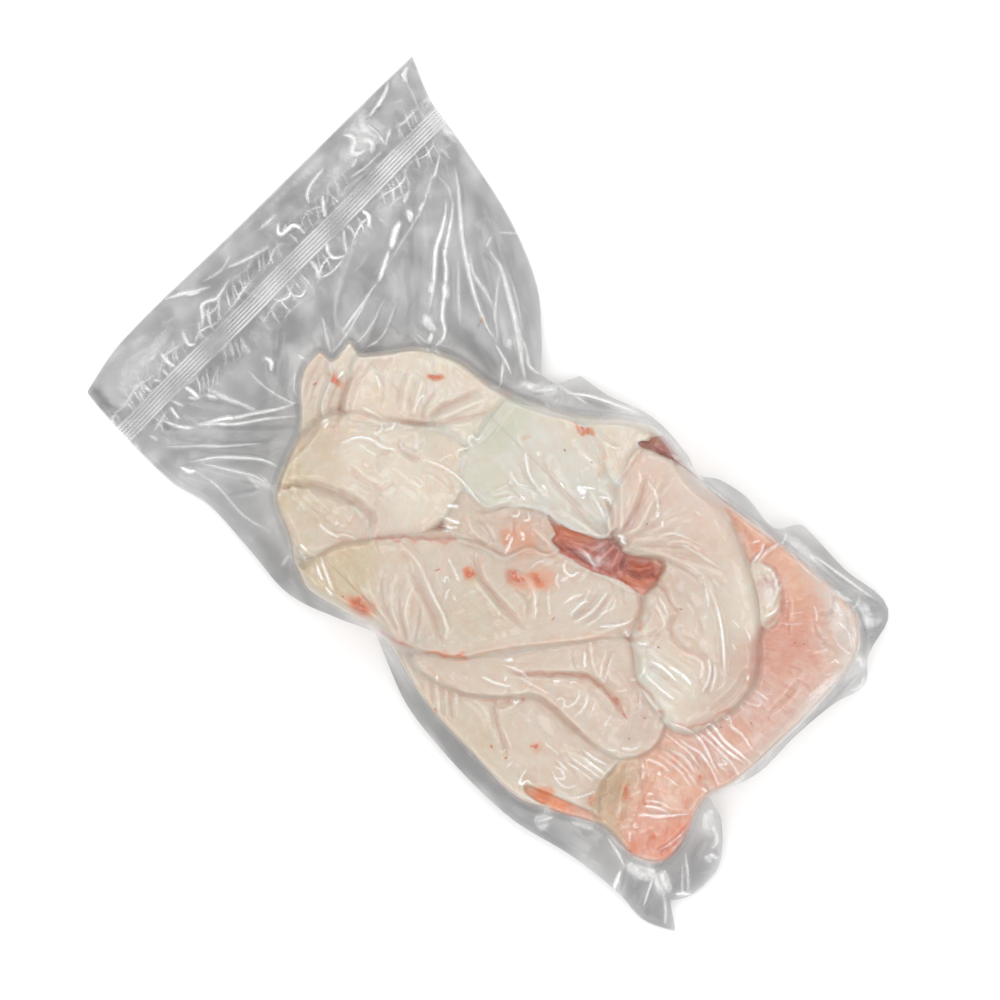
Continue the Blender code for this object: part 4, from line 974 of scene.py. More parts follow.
def food_material(name, look, meat):
    """Moist fat or meat: its own tone, mottled and faintly veined, with stains and painted crease shade
    kept on the points.
    """
    recipe = Recipe(name)
    tone = recipe.add("ShaderNodeAttribute", attribute_name="tone").outputs["Color"]
    rosy = recipe.blend(1.0, tone, (1.0, 0.86, 0.80, 1) if meat else (1.0, 0.93, 0.88, 1), "MULTIPLY")
    pale = recipe.blend(0.35 if meat else 0.22, tone, (1, 0.97, 0.93, 1))
    broad = recipe.ramp(recipe.noise(42, 4, 0.55, 0.4), 0.36, 0.66)
    colour = recipe.blend(broad, tone, rosy)
    fine = recipe.ramp(recipe.noise(240, 5, 0.62, 0.3), 0.35, 0.75)
    colour = recipe.blend(fine, colour, pale)
    vein = recipe.noise(85, 6, 0.6, 1.1)
    middle = recipe.add("ShaderNodeMath", {0: vein, 1: 0.5}, operation="SUBTRACT").outputs["Value"]
    away = recipe.add("ShaderNodeMath", {0: middle}, operation="ABSOLUTE").outputs["Value"]
    line = recipe.add("ShaderNodeMapRange", {"Value": away, "From Min": 0.012, "From Max": 0.0})
    colour = recipe.blend(recipe.scaled(line.outputs["Result"], 0.5), colour, rosy)
    grain = recipe.add("ShaderNodeAttribute", attribute_name="grain").outputs["Vector"]
    strand = recipe.add("ShaderNodeTexNoise", {
        "Vector": grain, "Scale": 1.0, "Detail": 3.0, "Roughness": 0.6})
    strands = recipe.ramp(strand.outputs["Fac"], 0.48, 0.70)
    deep = recipe.blend(1.0, tone, (0.9, 0.72, 0.66, 1) if meat else (0.97, 0.88, 0.80, 1), "MULTIPLY")
    colour = recipe.blend(recipe.scaled(strands, 0.75 if meat else 0.35), colour, deep)
    stain = recipe.add("ShaderNodeAttribute", attribute_name="stain")
    torn = recipe.ramp(recipe.noise(330, 4, 0.65, 0.5), 0.16, 0.52)
    share = recipe.add("ShaderNodeMath", {0: stain.outputs["Alpha"], 1: torn}, operation="MULTIPLY")
    colour = recipe.blend(share.outputs["Value"], colour, stain.outputs["Color"])
    normal = recipe.bump(recipe.noise(420, 5, 0.6), 0.35, 0.0005)
    normal = recipe.bump(strand.outputs["Fac"], 0.5, 0.0010, normal)
    normal = recipe.bump(recipe.noise(95, 4, 0.55, 0.3), 0.4, 0.0010, normal)
    shader = recipe.add("ShaderNodeBsdfPrincipled", {
        "Base Color": colour, "Roughness": 0.45, "Normal": normal,
        "Subsurface Weight": look.softness, "Subsurface Radius": (1.0, 0.5, 0.3),
        "Subsurface Scale": look.soft_depth, "Specular IOR Level": 0.35})
    return recipe.finish(shader.outputs["BSDF"])


def film_material(name, look):
    """Clear film: see-through, grey where it lies loose, and glossy; milky white along its creases and in
    patches, partly real whitened film and partly painted highlights and sheen.
    """
    recipe = Recipe(name)
    cast = recipe.add("ShaderNodeAttribute", attribute_name="cast").outputs["Fac"]
    milk = recipe.add("ShaderNodeAttribute", attribute_name="milk").outputs["Fac"]
    streak = recipe.noise(120, 4, 0.55, 0.8)
    normal = recipe.bump(streak, look.film_bump, 0.0010)
    through = recipe.blend(cast, solid_colour(look.film_tint), solid_colour(look.film_grey))
    clear = recipe.add("ShaderNodeBsdfTransparent", {"Color": through})
    gloss = recipe.add("ShaderNodeBsdfGlossy", {
        "Color": (1, 1, 1, 1), "Roughness": look.film_roughness, "Normal": normal})
    shine = recipe.add("ShaderNodeFresnel", {"IOR": look.film_shine})
    film = recipe.add("ShaderNodeMixShader", {"Fac": shine.outputs["Fac"], 1: clear.outputs["BSDF"],
                                              2: gloss.outputs["BSDF"]})
    # Milky white shader for whitened film and for the painted highlights kept in the milk attribute.
    milk_and_highlight_shader = recipe.add("ShaderNodeBsdfPrincipled", {
        "Base Color": solid_colour(look.film_milk_and_highlight), "Metallic": 0.5, "Roughness": 0.28, "Normal": normal})
    both = recipe.add("ShaderNodeMixShader", {"Fac": recipe.scaled(milk, look.milk_and_highlight_share),
                                              1: film.outputs["Shader"], 2: milk_and_highlight_shader.outputs["BSDF"]})
    return recipe.finish(both.outputs["Shader"])


# ---------------------------------------------------------------- settings
def colour_setting(title, words, default):
    """A colour that a user can change."""
    return FloatVectorProperty(name=title, description=words, subtype="COLOR", size=3, min=0.0, max=1.0,
                               default=default)


class FoodLook(bpy.types.PropertyGroup):
    """Colours and softness of the fat and meat."""

    cream: colour_setting("Cream fat", "Plain warm fat", (0.85, 0.765, 0.68))
    ivory: colour_setting("Ivory fat", "Bright fat with little colour", (0.92, 0.86, 0.77))
    buff: colour_setting("Buff fat", "Fat that is a little darker and duller", (0.82, 0.75, 0.635))
    buff_pink: colour_setting("Dull pink fat", "Fat with a dull pink cast", (0.82, 0.70, 0.61))
    yellow: colour_setting("Yellow fat", "Thin fat near the table", (0.80, 0.71, 0.54))
    white: colour_setting("White fat", "Pale skin side", (0.86, 0.84, 0.78))
    green_white: colour_setting("Greenish fat", "Pale fat with a green cast", (0.87, 0.85, 0.79))
    pink: colour_setting("Pink fat", "Fat with a pink cast", (0.89, 0.78, 0.70))
    salmon: colour_setting("Salmon lean", "Lean meat under a thin layer of fat", (0.90, 0.60, 0.48))
    salmon_light: colour_setting("Light lean", "Lean meat with a paler layer", (0.93, 0.68, 0.55))
    salmon_pale: colour_setting("Pale lean", "Lean meat that shows faintly", (0.88, 0.68, 0.60))
    salmon_dark: colour_setting("Dark lean", "Shaded lean meat", (0.92, 0.38, 0.23))
    olive: colour_setting("Olive flank", "Yellowish side of the corner roll", (0.80, 0.65, 0.48))
    red: colour_setting("Red lean", "Bare lean meat", (0.66, 0.15, 0.08))
    maroon: colour_setting("Maroon lean", "Deep red of the narrow slit", (0.50, 0.13, 0.09))
    red_pale: colour_setting("Hazy red", "Lean meat behind hazy film", (0.61, 0.24, 0.20))
    red_orange: colour_setting("Orange lean", "Thin lean strip", (0.84, 0.33, 0.20))
    strip: colour_setting("Strip lean", "Thin bright strip of lean", (0.98, 0.44, 0.21))
    blood: colour_setting("Blood", "Small blood marks", (0.80, 0.25, 0.13))
    # Painted shade: the warm colour laid into the food's hollows.
    crease: colour_setting("Crease", "Warm colour in the creases", (0.90, 0.63, 0.51))
    softness: FloatProperty(name="Softness", description="Share of light that passes through the fat",
                            default=0.5, min=0.0, max=1.0, subtype="FACTOR")
    soft_depth: FloatProperty(name="Soft depth", description="How deep light goes into the fat",
                              default=0.005, min=0.0, unit="LENGTH")


class FilmLook(bpy.types.PropertyGroup):
    """Colour and gloss of the clear film."""

    film_tint: colour_setting("Film tint", "Light that passes taut film", (0.93, 0.93, 0.93))
    film_grey: colour_setting("Film grey", "Grey cast of loose film at full strength", (0.64, 0.64, 0.645))
    # The milk colour and share also serve the painted highlights along the film's creases.
    film_milk_and_highlight: colour_setting("Film milk", "Milky colour of creased or doubled film", (0.95, 0.95, 0.94))
    milk_and_highlight_share: FloatProperty(name="Milk share", description="How strong the milkiness is",
                              default=1.0, min=0.0, max=1.0, subtype="FACTOR")
    film_roughness: FloatProperty(name="Film roughness", description="Blur of the film's highlights",
                                  default=0.09, min=0.0, max=1.0, subtype="FACTOR")
    film_shine: FloatProperty(name="Film shine", description="Refractive index that sets the film's gloss",
                              default=1.52, min=1.0, max=3.0)
    film_bump: FloatProperty(name="Film crinkle", description="Strength of the film's fine crinkles",
                             default=0.08, min=0.0, max=1.0, subtype="FACTOR")


class StageLook(bpy.types.PropertyGroup):
    """Floor, light and camera."""

    floor_colour: colour_setting("Floor", "Plain pale floor", (0.95, 0.95, 0.95))
    sky_strength: FloatProperty(name="Sky strength", description="Brightness of the soft dome",
                                default=1.0, min=0.0)
    panel_power: FloatProperty(name="Panel power", description="Power of each small panel light",
                               default=2.8, min=0.0, unit="POWER")
    view_width: FloatProperty(name="View width", description="Width of the table that the picture spans",
                              default=0.5486, min=0.1, unit="LENGTH")
    view_height: FloatProperty(name="View height", description="Height of the camera above the table",
                               default=8.0, min=1.0, unit="LENGTH")


# ---------------------------------------------------------------- the food
# Stains in the food: colour, strength, turn, place and half sizes.
STAINS = read_rows(Stain, """
    orange .75 45  -87,11.6 5,2.2; rose_pale .3 40  -112,-2 9,5; orange .75 -60  -125,-28 3.6,4.2
    orange .9 12  -27,-105.5 9,6; clot .9 12  -27,-105.4 6,4; orange_pale .75 20  8,-18 9,11
    orange .4 20  2,-22 5,5; orange .95 0  2,-51 4.6,4.2; clot .95 20  22,-34.5 7,4.6
    orange_pale .8 30  26,-34 9,6; orange_pale .95 40  32,-25 9,7; orange .9 20  30,-27 6,3.4
    orange_mid .6 20  12,-18 8,8; orange .85 15  -12.6,46.8 2.8,1.7; orange .85 35  -7,49.3 3.8,2.1
    orange_mid .6 30  -29,24 2,1.5; tan .6 50  -105,-90 6,2.4; olive .65 -12  140,-80 8,20
    olive .5 -8  158,-96 16,5; rose .55 5  188,-76 4,14; rose_deep .35 60  150,42 24,16
    orange_mid .6 30  142,67 13,9; orange_pale .5 5  118,76 30,7; pale .8 30  172,68 18,14
    pale .8 0  185,15 7,44; orange_pale .45 0  165,-10 13,10; green_white .75 0  -42,18 13,22
    green_white .5 0  -26,-8 16,14; rose_pale .15 0  35,55 16,14; orange_pale .7 40  -52,37 7,5
    blush .85 -70  121,61 9,6; orange_pale .7 0  94,-92 3.4,3; pale_tan .6 0  106,-108 6,5
    rust .9 30  68,17 10,8; deep_red .5 -20  58,12 4,6; deep_red .5 14  34,-1 12,2.6; rose .3 25  48,9 9,6
    tan .5 20  21,73 6,3.5; haze .5 30  42,8 5,2; clot .85 25  22,1 7,3.4; orange .8 25  115,-107 7,4
    orange .45 0  170,-40 3,2.5; orange .7 -40  147,-75 5,3.4; orange .6 10  173,-81 4,3
    orange .6 0  171,-95 6,4.5; orange .7 0  136,-90 3,4; orange .5 0  101,70 5,3
""")

# Colours of the stains and of the lines of painted shade in the creases.
STAIN_AND_SHADE_COLOURS = {
    "orange": (0.86, 0.34, 0.16), "tan": (0.62, 0.42, 0.27), "olive": (0.66, 0.50, 0.33),
    "rose": (0.74, 0.36, 0.28), "orange_pale": (0.90, 0.58, 0.43), "pale": (0.84, 0.72, 0.65),
    "green_white": (0.80, 0.79, 0.67), "rose_pale": (0.86, 0.63, 0.53), "deep_red": (0.42, 0.09, 0.06),
    "rose_deep": (0.76, 0.42, 0.33), "pale_tan": (0.78, 0.64, 0.48), "crease": (0.78, 0.55, 0.45),
    "salmon_deep": (0.78, 0.46, 0.38), "orange_mid": (0.88, 0.54, 0.38), "haze": (0.82, 0.70, 0.67),
    "rust": (0.62, 0.15, 0.05), "maroon": (0.46, 0.13, 0.10), "clot": (0.74, 0.25, 0.12),
    "white_fat": (0.86, 0.80, 0.75), "blush": (0.94, 0.76, 0.70),
}

# Spots that lie on the food: turn, place and half sizes.
BLOOD_MARKS = read_rows(Mark, """
    45  -88,11 2.6,.8; 30  -86,13.2 1.1,.6; 8  -10.5,48.6 1.7,.7; -30  -7.5,49.5 1.5,1
    10  -125,-28.4 1.6,1.8; 0  -131,-37 .4,1.4; 60  -12,-62 1.6,.4; 0  2,-51.4 1.3,1.5; 0  3.4,-49.6 .7,.5
    20  20,-34.6 1.7,1.5; 10  22.6,-35 1.5,.9; 30  24.4,-32.4 1.4,.7; 20  30,-27 1.5,.9; 10  51.5,-36 .4,1.2
    0  21.5,-93 .7,.6; 40  29,-86.5 1.2,.5; -20  41.5,-117 1.4,.7; 0  77,-109 .8,.7; 0  87,-108 .7,.6
    0  94,-92 1.3,1; 0  92.4,-93.6 .6,.4; -8  116,-45.8 1.8,.4; 0  109,-44.2 1,.4; 10  169,-40 .9,.5
    -30  145,-73.5 1,.7; -35  148.5,-76.5 1,.6; 20  158.5,-72 .4,1.2; 5  173.5,-80.5 1.1,.7
    20  154,48 .8,.5; 0  139.5,35 .8,.6; 20  71,-79 .9,.6; 0  171,-96 1,.7; 0  -38,-108.5 1,.4
    10  -29.5,-106.5 1.4,.9; 40  -25,-104.5 1.1,.8; 0  -31,-103.6 .8,.5
""")

BROWN_MARKS = read_rows(Mark, """
    10  -9,33.5 .8,.4; 30  6,39 .6,.4; 0  51,36.5 .5,.6; 0  48,50 .4,.4; 0  97,17 .6,.5; 0  103,-6.5 .7,.5
    0  125,-39 .6,.4; 0  127,-53 .6,.4; 0  158,-13 .6,.5; 0  158,51 .6,.4; 0  168,0 .5,.4
    -30  -91.5,52 1.3,.8
""")

# Which tone the food has at which place, for each group of pieces.
TONES = read_tones("""
    left  ivory -95,5 ivory -72,14 ivory -85,-45 ivory -60,-38 buff -108,-62 yellow -108,-84 buff -80,-90 \
        cream -138,-34 ivory -122,-16 cream -58,-72
    corner  green_white -42,20 green_white -30,-5 white -10,20 white 18,25 ivory -8,62 ivory 10,58
    dome  pink 35,52 pink 70,60 cream 100,35 buff_pink 142,8 buff_pink 80,28 ivory 120,-8 white 104,-18 \
        cream 90,0 ivory 122,58
    front  yellow -52,-100 cream -12,-80 buff 20,-62 cream 58,-15 buff_pink 8,-16 cream 45,-82 cream \
        100,-56 cream 84,-38 buff 60,-108 cream 104,-86 cream 122,-92 buff_pink 110,-36
    salmon  salmon_light 125,75 salmon 150,48 salmon_pale 166,18 salmon_pale 166,-12 salmon_light 160,-60 \
        salmon 172,-85 olive 138,-80 salmon_dark 188,-76 salmon_pale 184,20
    red  red_orange 20,0 red 34,3 red_pale 46,12 red 60,16 red_orange 72,18 maroon 36,71 strip 116,-107 \
        salmon 142,-98
""")
TONE_REACH = 17.0           # how far a tone reaches before the next takes over


def food_tone(group, x, y, look):
    """The food's own colour at each point, blended between the tones set near it."""
    bent_x, bent_y = x + 5 * ripple(x, y, 26, 83), y + 5 * ripple(x, y, 26, 89)
    total = np.zeros((len(x), 3))
    weights = np.full(len(x), TINY)
    for place, tone in TONES[group]:
        reach = np.hypot(bent_x - place[0], bent_y - place[1]) / TONE_REACH
        weight = 1 / (0.15 + reach ** 4)
        total += weight[:, None] * np.array(getattr(look, tone))
        weights += weight
    return np.column_stack([total / weights[:, None], np.ones(len(x))])


def stain_tone(name, look):
    """The colour that a name in the stain and shade tables stands for."""
    return np.array(look.blood if name == "blood" else STAIN_AND_SHADE_COLOURS[name])


def lay_over(colour, share, tone, amount):
    """One more layer, a stain or a line of painted shade, over the others: the colour and the cover that
    they come to.
    """
    total = amount + share * (1 - amount)
    mix = np.divide(amount, total, out=np.zeros_like(total), where=total > TINY)[:, None]
    return colour * (1 - mix) + tone * mix, total


def stain_and_shade_points(x, y, hollow_shade_share, look):
    """Colour and share of the stains at each point: painted shade in the hollows first, then the stains,
    then the coloured lines, most of them painted shade in the creases.
    """
    colour = np.tile(np.array(look.crease), (len(x), 1))
    share = hollow_shade_share.copy()
    wobble_x = x + 1.6 * ripple(x, y, 9, 31)
    wobble_y = y + 1.6 * ripple(x, y, 9, 47)
    for stain in STAINS:
        amount = stain.strength * patch_share(stain, wobble_x, wobble_y, 0.45, 1.25)
        colour, share = lay_over(colour, share, stain_tone(stain.colour, look), amount)
    for line in CREASE_SHADE_AND_STAIN_LINES:
        gap, passed = nearest_on_path(wobble_x, wobble_y, smooth_curve(line.path, closed=False))
        patchy = 0.75 + 0.35 * ripple(x, y, 6, 71)
        amount = line.strength * patchy * np.exp(-(gap / line.width) ** 2) * (1 - (2 * passed - 1) ** 6)
        colour, share = lay_over(colour, share, stain_tone(line.colour, look), np.clip(amount, 0, 1))
    return np.column_stack([colour, share])


def finish_food(piece, group, x, y, crease, look):
    """Keeps the stains and the painted shade in the hollows, the tone and the run of the grain on a closed
    slab's points.
    """
    for name, values in (("stain", stain_and_shade_points(x, y, crease, look)),
                         ("tone", food_tone(group, x, y, look))):
        store_colour(piece, name, np.concatenate([values, values]))
    centre = GRAIN_CENTRES[group]
    reach = np.hypot(x - centre[0], y - centre[1])
    turn = np.arctan2(y - centre[1], x - centre[0])
    grain = np.column_stack([turn * GRAIN_ACROSS, reach * GRAIN_ALONG, np.zeros(len(x))])
    layer = piece.data.attributes.new("grain", "FLOAT_VECTOR", "POINT")
    layer.data.foreach_set("vector", np.concatenate([grain, grain]).astype(np.float32).ravel())


# The place that the grain runs out from in each group, and its fineness across and along the strands.
GRAIN_CENTRES = {"left": (-71, -8), "corner": (45, 18), "dome": (45, 18), "front": (8, -101),
                 "salmon": (105, 10), "red": (45, 18)}
GRAIN_ACROSS, GRAIN_ALONG = 26.0, 0.10


def make_lobe(lobe, look, material):
    """One stretch of food as a closed piece."""
    loop = smooth_curve(lobe.edge)

    def depth_at(x, y):
        return np.minimum(depth_inside(x, y, loop) + SPREAD + SKIRT, FOOD_DEPTH(x, y) - FOOD_INSET)

    reach = SPREAD + SKIRT + FOOD_STEP
    sheet = cut_sheet(depth_at, loop.min(axis=0) - reach, loop.max(axis=0) + reach, FOOD_STEP)
    x, y, _ = sheet
    depth = lobe_depth(lobe, x, y)
    food_depth = FOOD_DEPTH(x, y)
    level = lobe_level(lobe, depth, x, y) + pit_share(lobe) * PIT_MAP.at(x, y)
    gap = np.maximum(BEST_MAP.at(x, y) - level, 0)
    top = FOOD_MAP.at(x, y) - SINK_EASE * gap - SINK_FAST * np.maximum(gap - SINK_FREE, 0)
    lowest = np.minimum(heap_belly(food_depth) + 2 * FILM_GAP, heap_side(food_depth))
    top = np.clip(top, lowest, heap_side(food_depth))
    base = lobe.crest - LEAN_THICK if lobe.finish == "red" else BASE_TOP - 3
    floor = np.maximum(heap_belly(food_depth) + FILM_GAP, base)
    under = np.minimum(floor, top - 0.4)
    piece = closed_slab(lobe.name, sheet, top, under, material)
    # The hollows' painted shade goes in as the first layer of colour.
    finish_food(piece, lobe.finish, x, y, 0.7 * HOLLOW_SHADE_MAP.at(x, y), look)
    return piece


class FatOperator(bpy.types.Operator):
    """Makes the folded fat and lean meat, one closed piece for each stretch that shows"""

    bl_idname = "mesh.fatback_slabs"
    bl_label = "Fat and lean"

    def execute(self, context):
        look = context.scene.food_look
        fat = food_material("pork_fat", look, False)
        meat = food_material("lean_meat", look, True)
        for lobe in LOBES:
            lean = lobe.finish in ("salmon", "red")
            make_lobe(lobe, look, meat if lean else fat)

        sheet = cut_sheet(FOOD_DEPTH, FOOD_LOOP.min(axis=0), FOOD_LOOP.max(axis=0), 2 * FOOD_STEP)
        x, y, _ = sheet
        food_depth = FOOD_DEPTH(x, y)
        top = np.minimum(heap_side(food_depth) - 1.0, BASE_TOP)
        under = np.minimum(heap_belly(food_depth) + FILM_GAP, top - 0.2)
        core = closed_slab("bottom_slab", sheet, top, under, fat)
        finish_food(core, "front", x, y, np.zeros(len(x)), look)
        return {"FINISHED"}


def spot_outline(mark, seed, sides=22):
    """An uneven oval round a mark's place."""
    draw = np.random.RandomState(seed)
    angle = np.arange(sides) * 2 * math.pi / sides
    uneven = 1.0
    for waves, height in ((2, 0.22), (3, 0.16), (5, 0.12)):
        uneven = uneven + height * np.sin(waves * angle + draw.uniform(0, 6))
    uneven = uneven + draw.uniform(-0.07, 0.07, sides)
    along, across = mark.size[0] * uneven * np.cos(angle), mark.size[1] * uneven * np.sin(angle)
    turn = math.radians(mark.turn)
    x = mark.place[0] + along * math.cos(turn) - across * math.sin(turn)
    y = mark.place[1] + along * math.sin(turn) + across * math.cos(turn)
    return x, y


def make_marks(name, marks, material, thick=0.22):
    """Thin uneven spots that lie on the food, as one piece of closed lenses."""
    points, faces = [], []
    rings = ((1.0, 0.04), (0.72, 0.7), (0.36, 1.0))
    for number, mark in enumerate(marks):
        x, y = spot_outline(mark, 100 + number)
        base = len(points)
        sides = len(x)
        for share, rise in rings:
            px = mark.place[0] + share * (x - mark.place[0])
            py = mark.place[1] + share * (y - mark.place[1])
            level = FOOD_MAP.at(px, py) + thick * rise
            points.extend(np.stack([px, py, level], axis=1))
        middle = FOOD_MAP.at(*np.array(mark.place)[:, None])[0]
        points += [(*mark.place, middle + thick), (*mark.place, middle - thick)]
        for side in range(sides):
            after = (side + 1) % sides
            for ring in range(len(rings) - 1):
                inner, outer = base + (ring + 1) * sides, base + ring * sides
                faces.append((outer + side, outer + after, inner + after, inner + side))
            last = base + (len(rings) - 1) * sides
            faces.append((last + side, last + after, base + len(rings) * sides))
            faces.append((base + after, base + side, base + len(rings) * sides + 1))
    return place_mesh(name, np.array(points), faces, material)


class MarksOperator(bpy.types.Operator):
    """Makes the small blood marks and brown specks that lie on the food"""

    bl_idname = "mesh.fatback_marks"
    bl_label = "Blood marks"

    def execute(self, context):
        look = context.scene.food_look
        recipe = Recipe("blood")
        clot = recipe.ramp(recipe.noise(900, 4, 0.6), 0.35, 0.7)
        bright = solid_colour([min(1, 1.1 * channel + 0.08) for channel in look.blood])
        colour = recipe.blend(clot, solid_colour(look.blood), bright)
        shader = recipe.add("ShaderNodeBsdfPrincipled", {
            "Base Color": colour, "Roughness": 0.3,
            "Normal": recipe.bump(recipe.noise(1200, 3, 0.5), 0.4, 0.0002)})
        make_marks("blood_marks", BLOOD_MARKS, recipe.finish(shader.outputs["BSDF"]))
        recipe = Recipe("brown_speck")
        colour = recipe.blend(recipe.noise(1500, 3), (0.46, 0.29, 0.20, 1), (0.56, 0.36, 0.25, 1))
        shader = recipe.add("ShaderNodeBsdfPrincipled", {"Base Color": colour, "Roughness": 0.45})
        make_marks("brown_specks", BROWN_MARKS, recipe.finish(shader.outputs["BSDF"]))
        return {"FINISHED"}


# ---------------------------------------------------------------- the film
HEADER_FANS = read_rows(Fan, """
    22  -49,44; 16  -137,-22; 16  -122,-62; 12  -124,-6
""")
HEADER_LINES = read_rows(Run, """
    -47 16  -140,60; -76 16  -152,40; -36 16  -130,78; -36 24  -80,60; -60 14  -110,35; 84 20  -165,0
    57 18  -150,-75; 46 18  -148,-100; 26 18  -125,-105; 8 20  -112,-116; -45 14  -156,-36; 0 26  -70,-124
    20 24  0,-120; -4 40  60,-126; 14 20  120,-122; 62 16  200,-80; -70 14  200,-108; 6 22  150,91
    60 12  175,84; 80 16  194,45; -4 18  40,79; 12 18  90,85; 88 20  190,-10
""")
BESIDE_SEAL = [Run(4 + 14 * math.sin(y), 7, (SEAL_HIGH + 6, y)) for y in range(-120, 121, 12)]
MOUTH_LINES = read_rows(Run, """
    60 22  -206,90; 20 18  -208,40; 80 22  -206,0; 84 26  -210,-60; 84 20  -205,-110
""")


# Wrinkles that follow a rule: how many, the box they start in, and their length, height and width.
WRINKLES_ON_FOOD = (
    (70, (-142, -118), (190, 84), 12, 0.10, 0.8), (34, (25, -2), (68, 42), 18, 0.28, 0.70),
    (8, (-92, -6), (-52, 24), 14, 0.20, 0.70), (18, (138, -98), (186, -44), 15, 0.32, 0.75),
    (14, (148, -40), (188, 0), 18, 0.30, 0.8), (14, (98, -30), (142, 4), 13, 0.25, 0.72),
    (8, (104, -100), (132, -72), 14, 0.28, 0.75), (12, (-56, -112), (10, -62), 24, 0.22, 0.9),
    (8, (60, -74), (128, -50), 12, 0.25, 0.75), (8, (140, 40), (186, 76), 14, 0.25, 0.8))
WRINKLES_LOOSE = (
    (22, (-176, -124), (-60, 108), 42, 0.45, 1.4), (40, (-176, -124), (-60, 108), 16, 0.22, 0.75),
    (10, (-150, -124), (-104, -60), 26, 0.4, 0.8), (18, (-60, -132), (150, -106), 14, 0.25, 0.75),
    (24, (150, -120), (215, -45), 14, 0.35, 0.8), (24, (-40, 48), (198, 98), 14, 0.28, 0.75))


def scattered_wrinkles():
    """The faint wrinkles of the film that follow a rule."""
    draw = np.random.RandomState(12)
    folds = []
    for row in WRINKLES_ON_FOOD:
        folds += flowing_folds(draw, *row, FAT_FANS, FAT_LINES)
    for row in WRINKLES_LOOSE:
        folds += flowing_folds(draw, *row, HEADER_FANS, HEADER_LINES)
    folds += flowing_folds(draw, 40, (-182, -122), (-171, 112), 9, 0.5, 0.8, [], BESIDE_SEAL)
    folds += flowing_folds(draw, 34, (-202, -122), (-191, 112), 8, 0.5, 0.8, [], BESIDE_SEAL)
    folds += flowing_folds(draw, 34, (-221, -128), (-193, 122), 14, 0.35, 0.85, [], MOUTH_LINES)
    return folds


def taut(levels, lowest, rounds=10, pull=0.02):
    """Film drawn over a relief: it spans narrow creases and rests on what stands up."""
    film = levels.copy()
    for _ in range(rounds):
        film[1:-1, 1:-1] = np.maximum(mean_around(film) - pull, lowest[1:-1, 1:-1])
    return film


def seal_ribs(x, y):
    """Fine parallel ribs of the heat seal, from 0 to 1, which wander a little."""
    x = x + 0.6 * ripple(x, y, 90, 8)
    inside = (x > SEAL_LOW) & (x < SEAL_HIGH)
    turns = (x - SEAL_LOW) / (SEAL_HIGH - SEAL_LOW) * SEAL_LINES
    return np.where(inside, np.abs(np.sin(math.pi * turns)) ** 1.5, 0)


def crumpled_band(x, y):
    """Sharp small creases of the film on both sides of the seal, from 0 to 1."""
    beside = np.exp(-((np.abs(x - SEAL_MIDDLE) - 11) / 5) ** 2)
    patchy = np.clip(0.45 + 0.9 * ripple(x, y, 34, 51), 0, 1)
    return beside * patchy * soft_step(crinkle(x, y, 12, 43, 5), 0.42, 0.85)


def film_maps():
    """Levels of the upper and lower film, and how sharp the creases are, with their painted brightness and
    painted darkness.
    """
    upper, lower, bright, shade_troughs = LevelMap(), LevelMap(), LevelMap(), LevelMap()
    x, y = upper.x, upper.y
    food_depth = DEPTH_MAP.z
    bag_depth = BAG_DEPTH(x, y)
    away = np.maximum(-food_depth, 0)

    puffs = LevelMap()
    for fold in HEADER_PUFFS:
        puffs.raise_fold(fold)
    lift = np.maximum(puffs.z, 0) * rounded_rim(away, FIN_FALL)
    sink = FIN_RISE * np.exp(-(away / FIN_FALL) ** FIN_SAG)
    middle = FIN_CLEAR + sink + 0.45 * lift

    rim = soft_step(bag_depth, 0.2, 3)
    at_seal = soft_step(np.abs(x - SEAL_MIDDLE), 4.5, 16)
    apart = rim * at_seal
    dents = 0.25 * crinkle(x, y, 12, 23) * soft_step(-np.abs(x + 187), -30, -12)
    rise = 0.55 * lift + 1.0 + 0.25 * crinkle(x, y, 30, 5) + dents + 0.2 * ripple(x, y, 30, 3)
    header_top = middle + 0.35 + 1.1 * crumpled_band(x, y) * rim + apart * rise
    header_low = middle - apart * (0.15 + 0.15 * crinkle(x, y, 17, 19)) - 0.05

    rest = np.where(food_depth > 0, FOOD_MAP.z + FILM_GAP, 0)
    start = np.where(food_depth > 0, rest, header_top)
    film = taut(start, np.where(food_depth > 0, rest, header_top * 0.96))

    relief = LevelMap()
    for fold in scattered_wrinkles():
        relief.raise_fold(fold)
    for streak in LOOSE_STREAKS + FOOD_STREAKS:
        tall = streak.strength * min(streak.width, 1.8) * (1.0 if streak.strength > 0 else 0.6)
        relief.raise_fold(Fold(tall, max(0.8 * streak.width, 0.6), streak.path))
        (bright if streak.strength > 0 else shade_troughs).draw_streak(streak, 0.45)
    on_food = soft_step(food_depth, -0.8, 0.5)
    calm = (0.25 + 0.75 * rim) * (0.15 + 0.85 * soft_step(at_seal, 0, 0.5))
    loose_relief = np.clip(relief.z * calm, -1.0, 3.0)
    food_relief = np.clip(relief.z, 0, 1.8)
    share = soft_step(food_depth, -3, 1)
    upper.z = film + loose_relief * (1 - share) + food_relief * share
    upper.z += 0.8 * seal_ribs(x, y) * (1 - on_food) * soft_step(bag_depth, 0, 2)
    lower.z = np.where(food_depth > 0, heap_belly(food_depth), np.maximum(header_low, 0.3))
    lower.z = np.minimum(lower.z, upper.z - 0.12)

    crest = LevelMap()
    crest.z = upper.z - smoothed(upper.z, 4)
    return upper, lower, crest, bright, shade_troughs


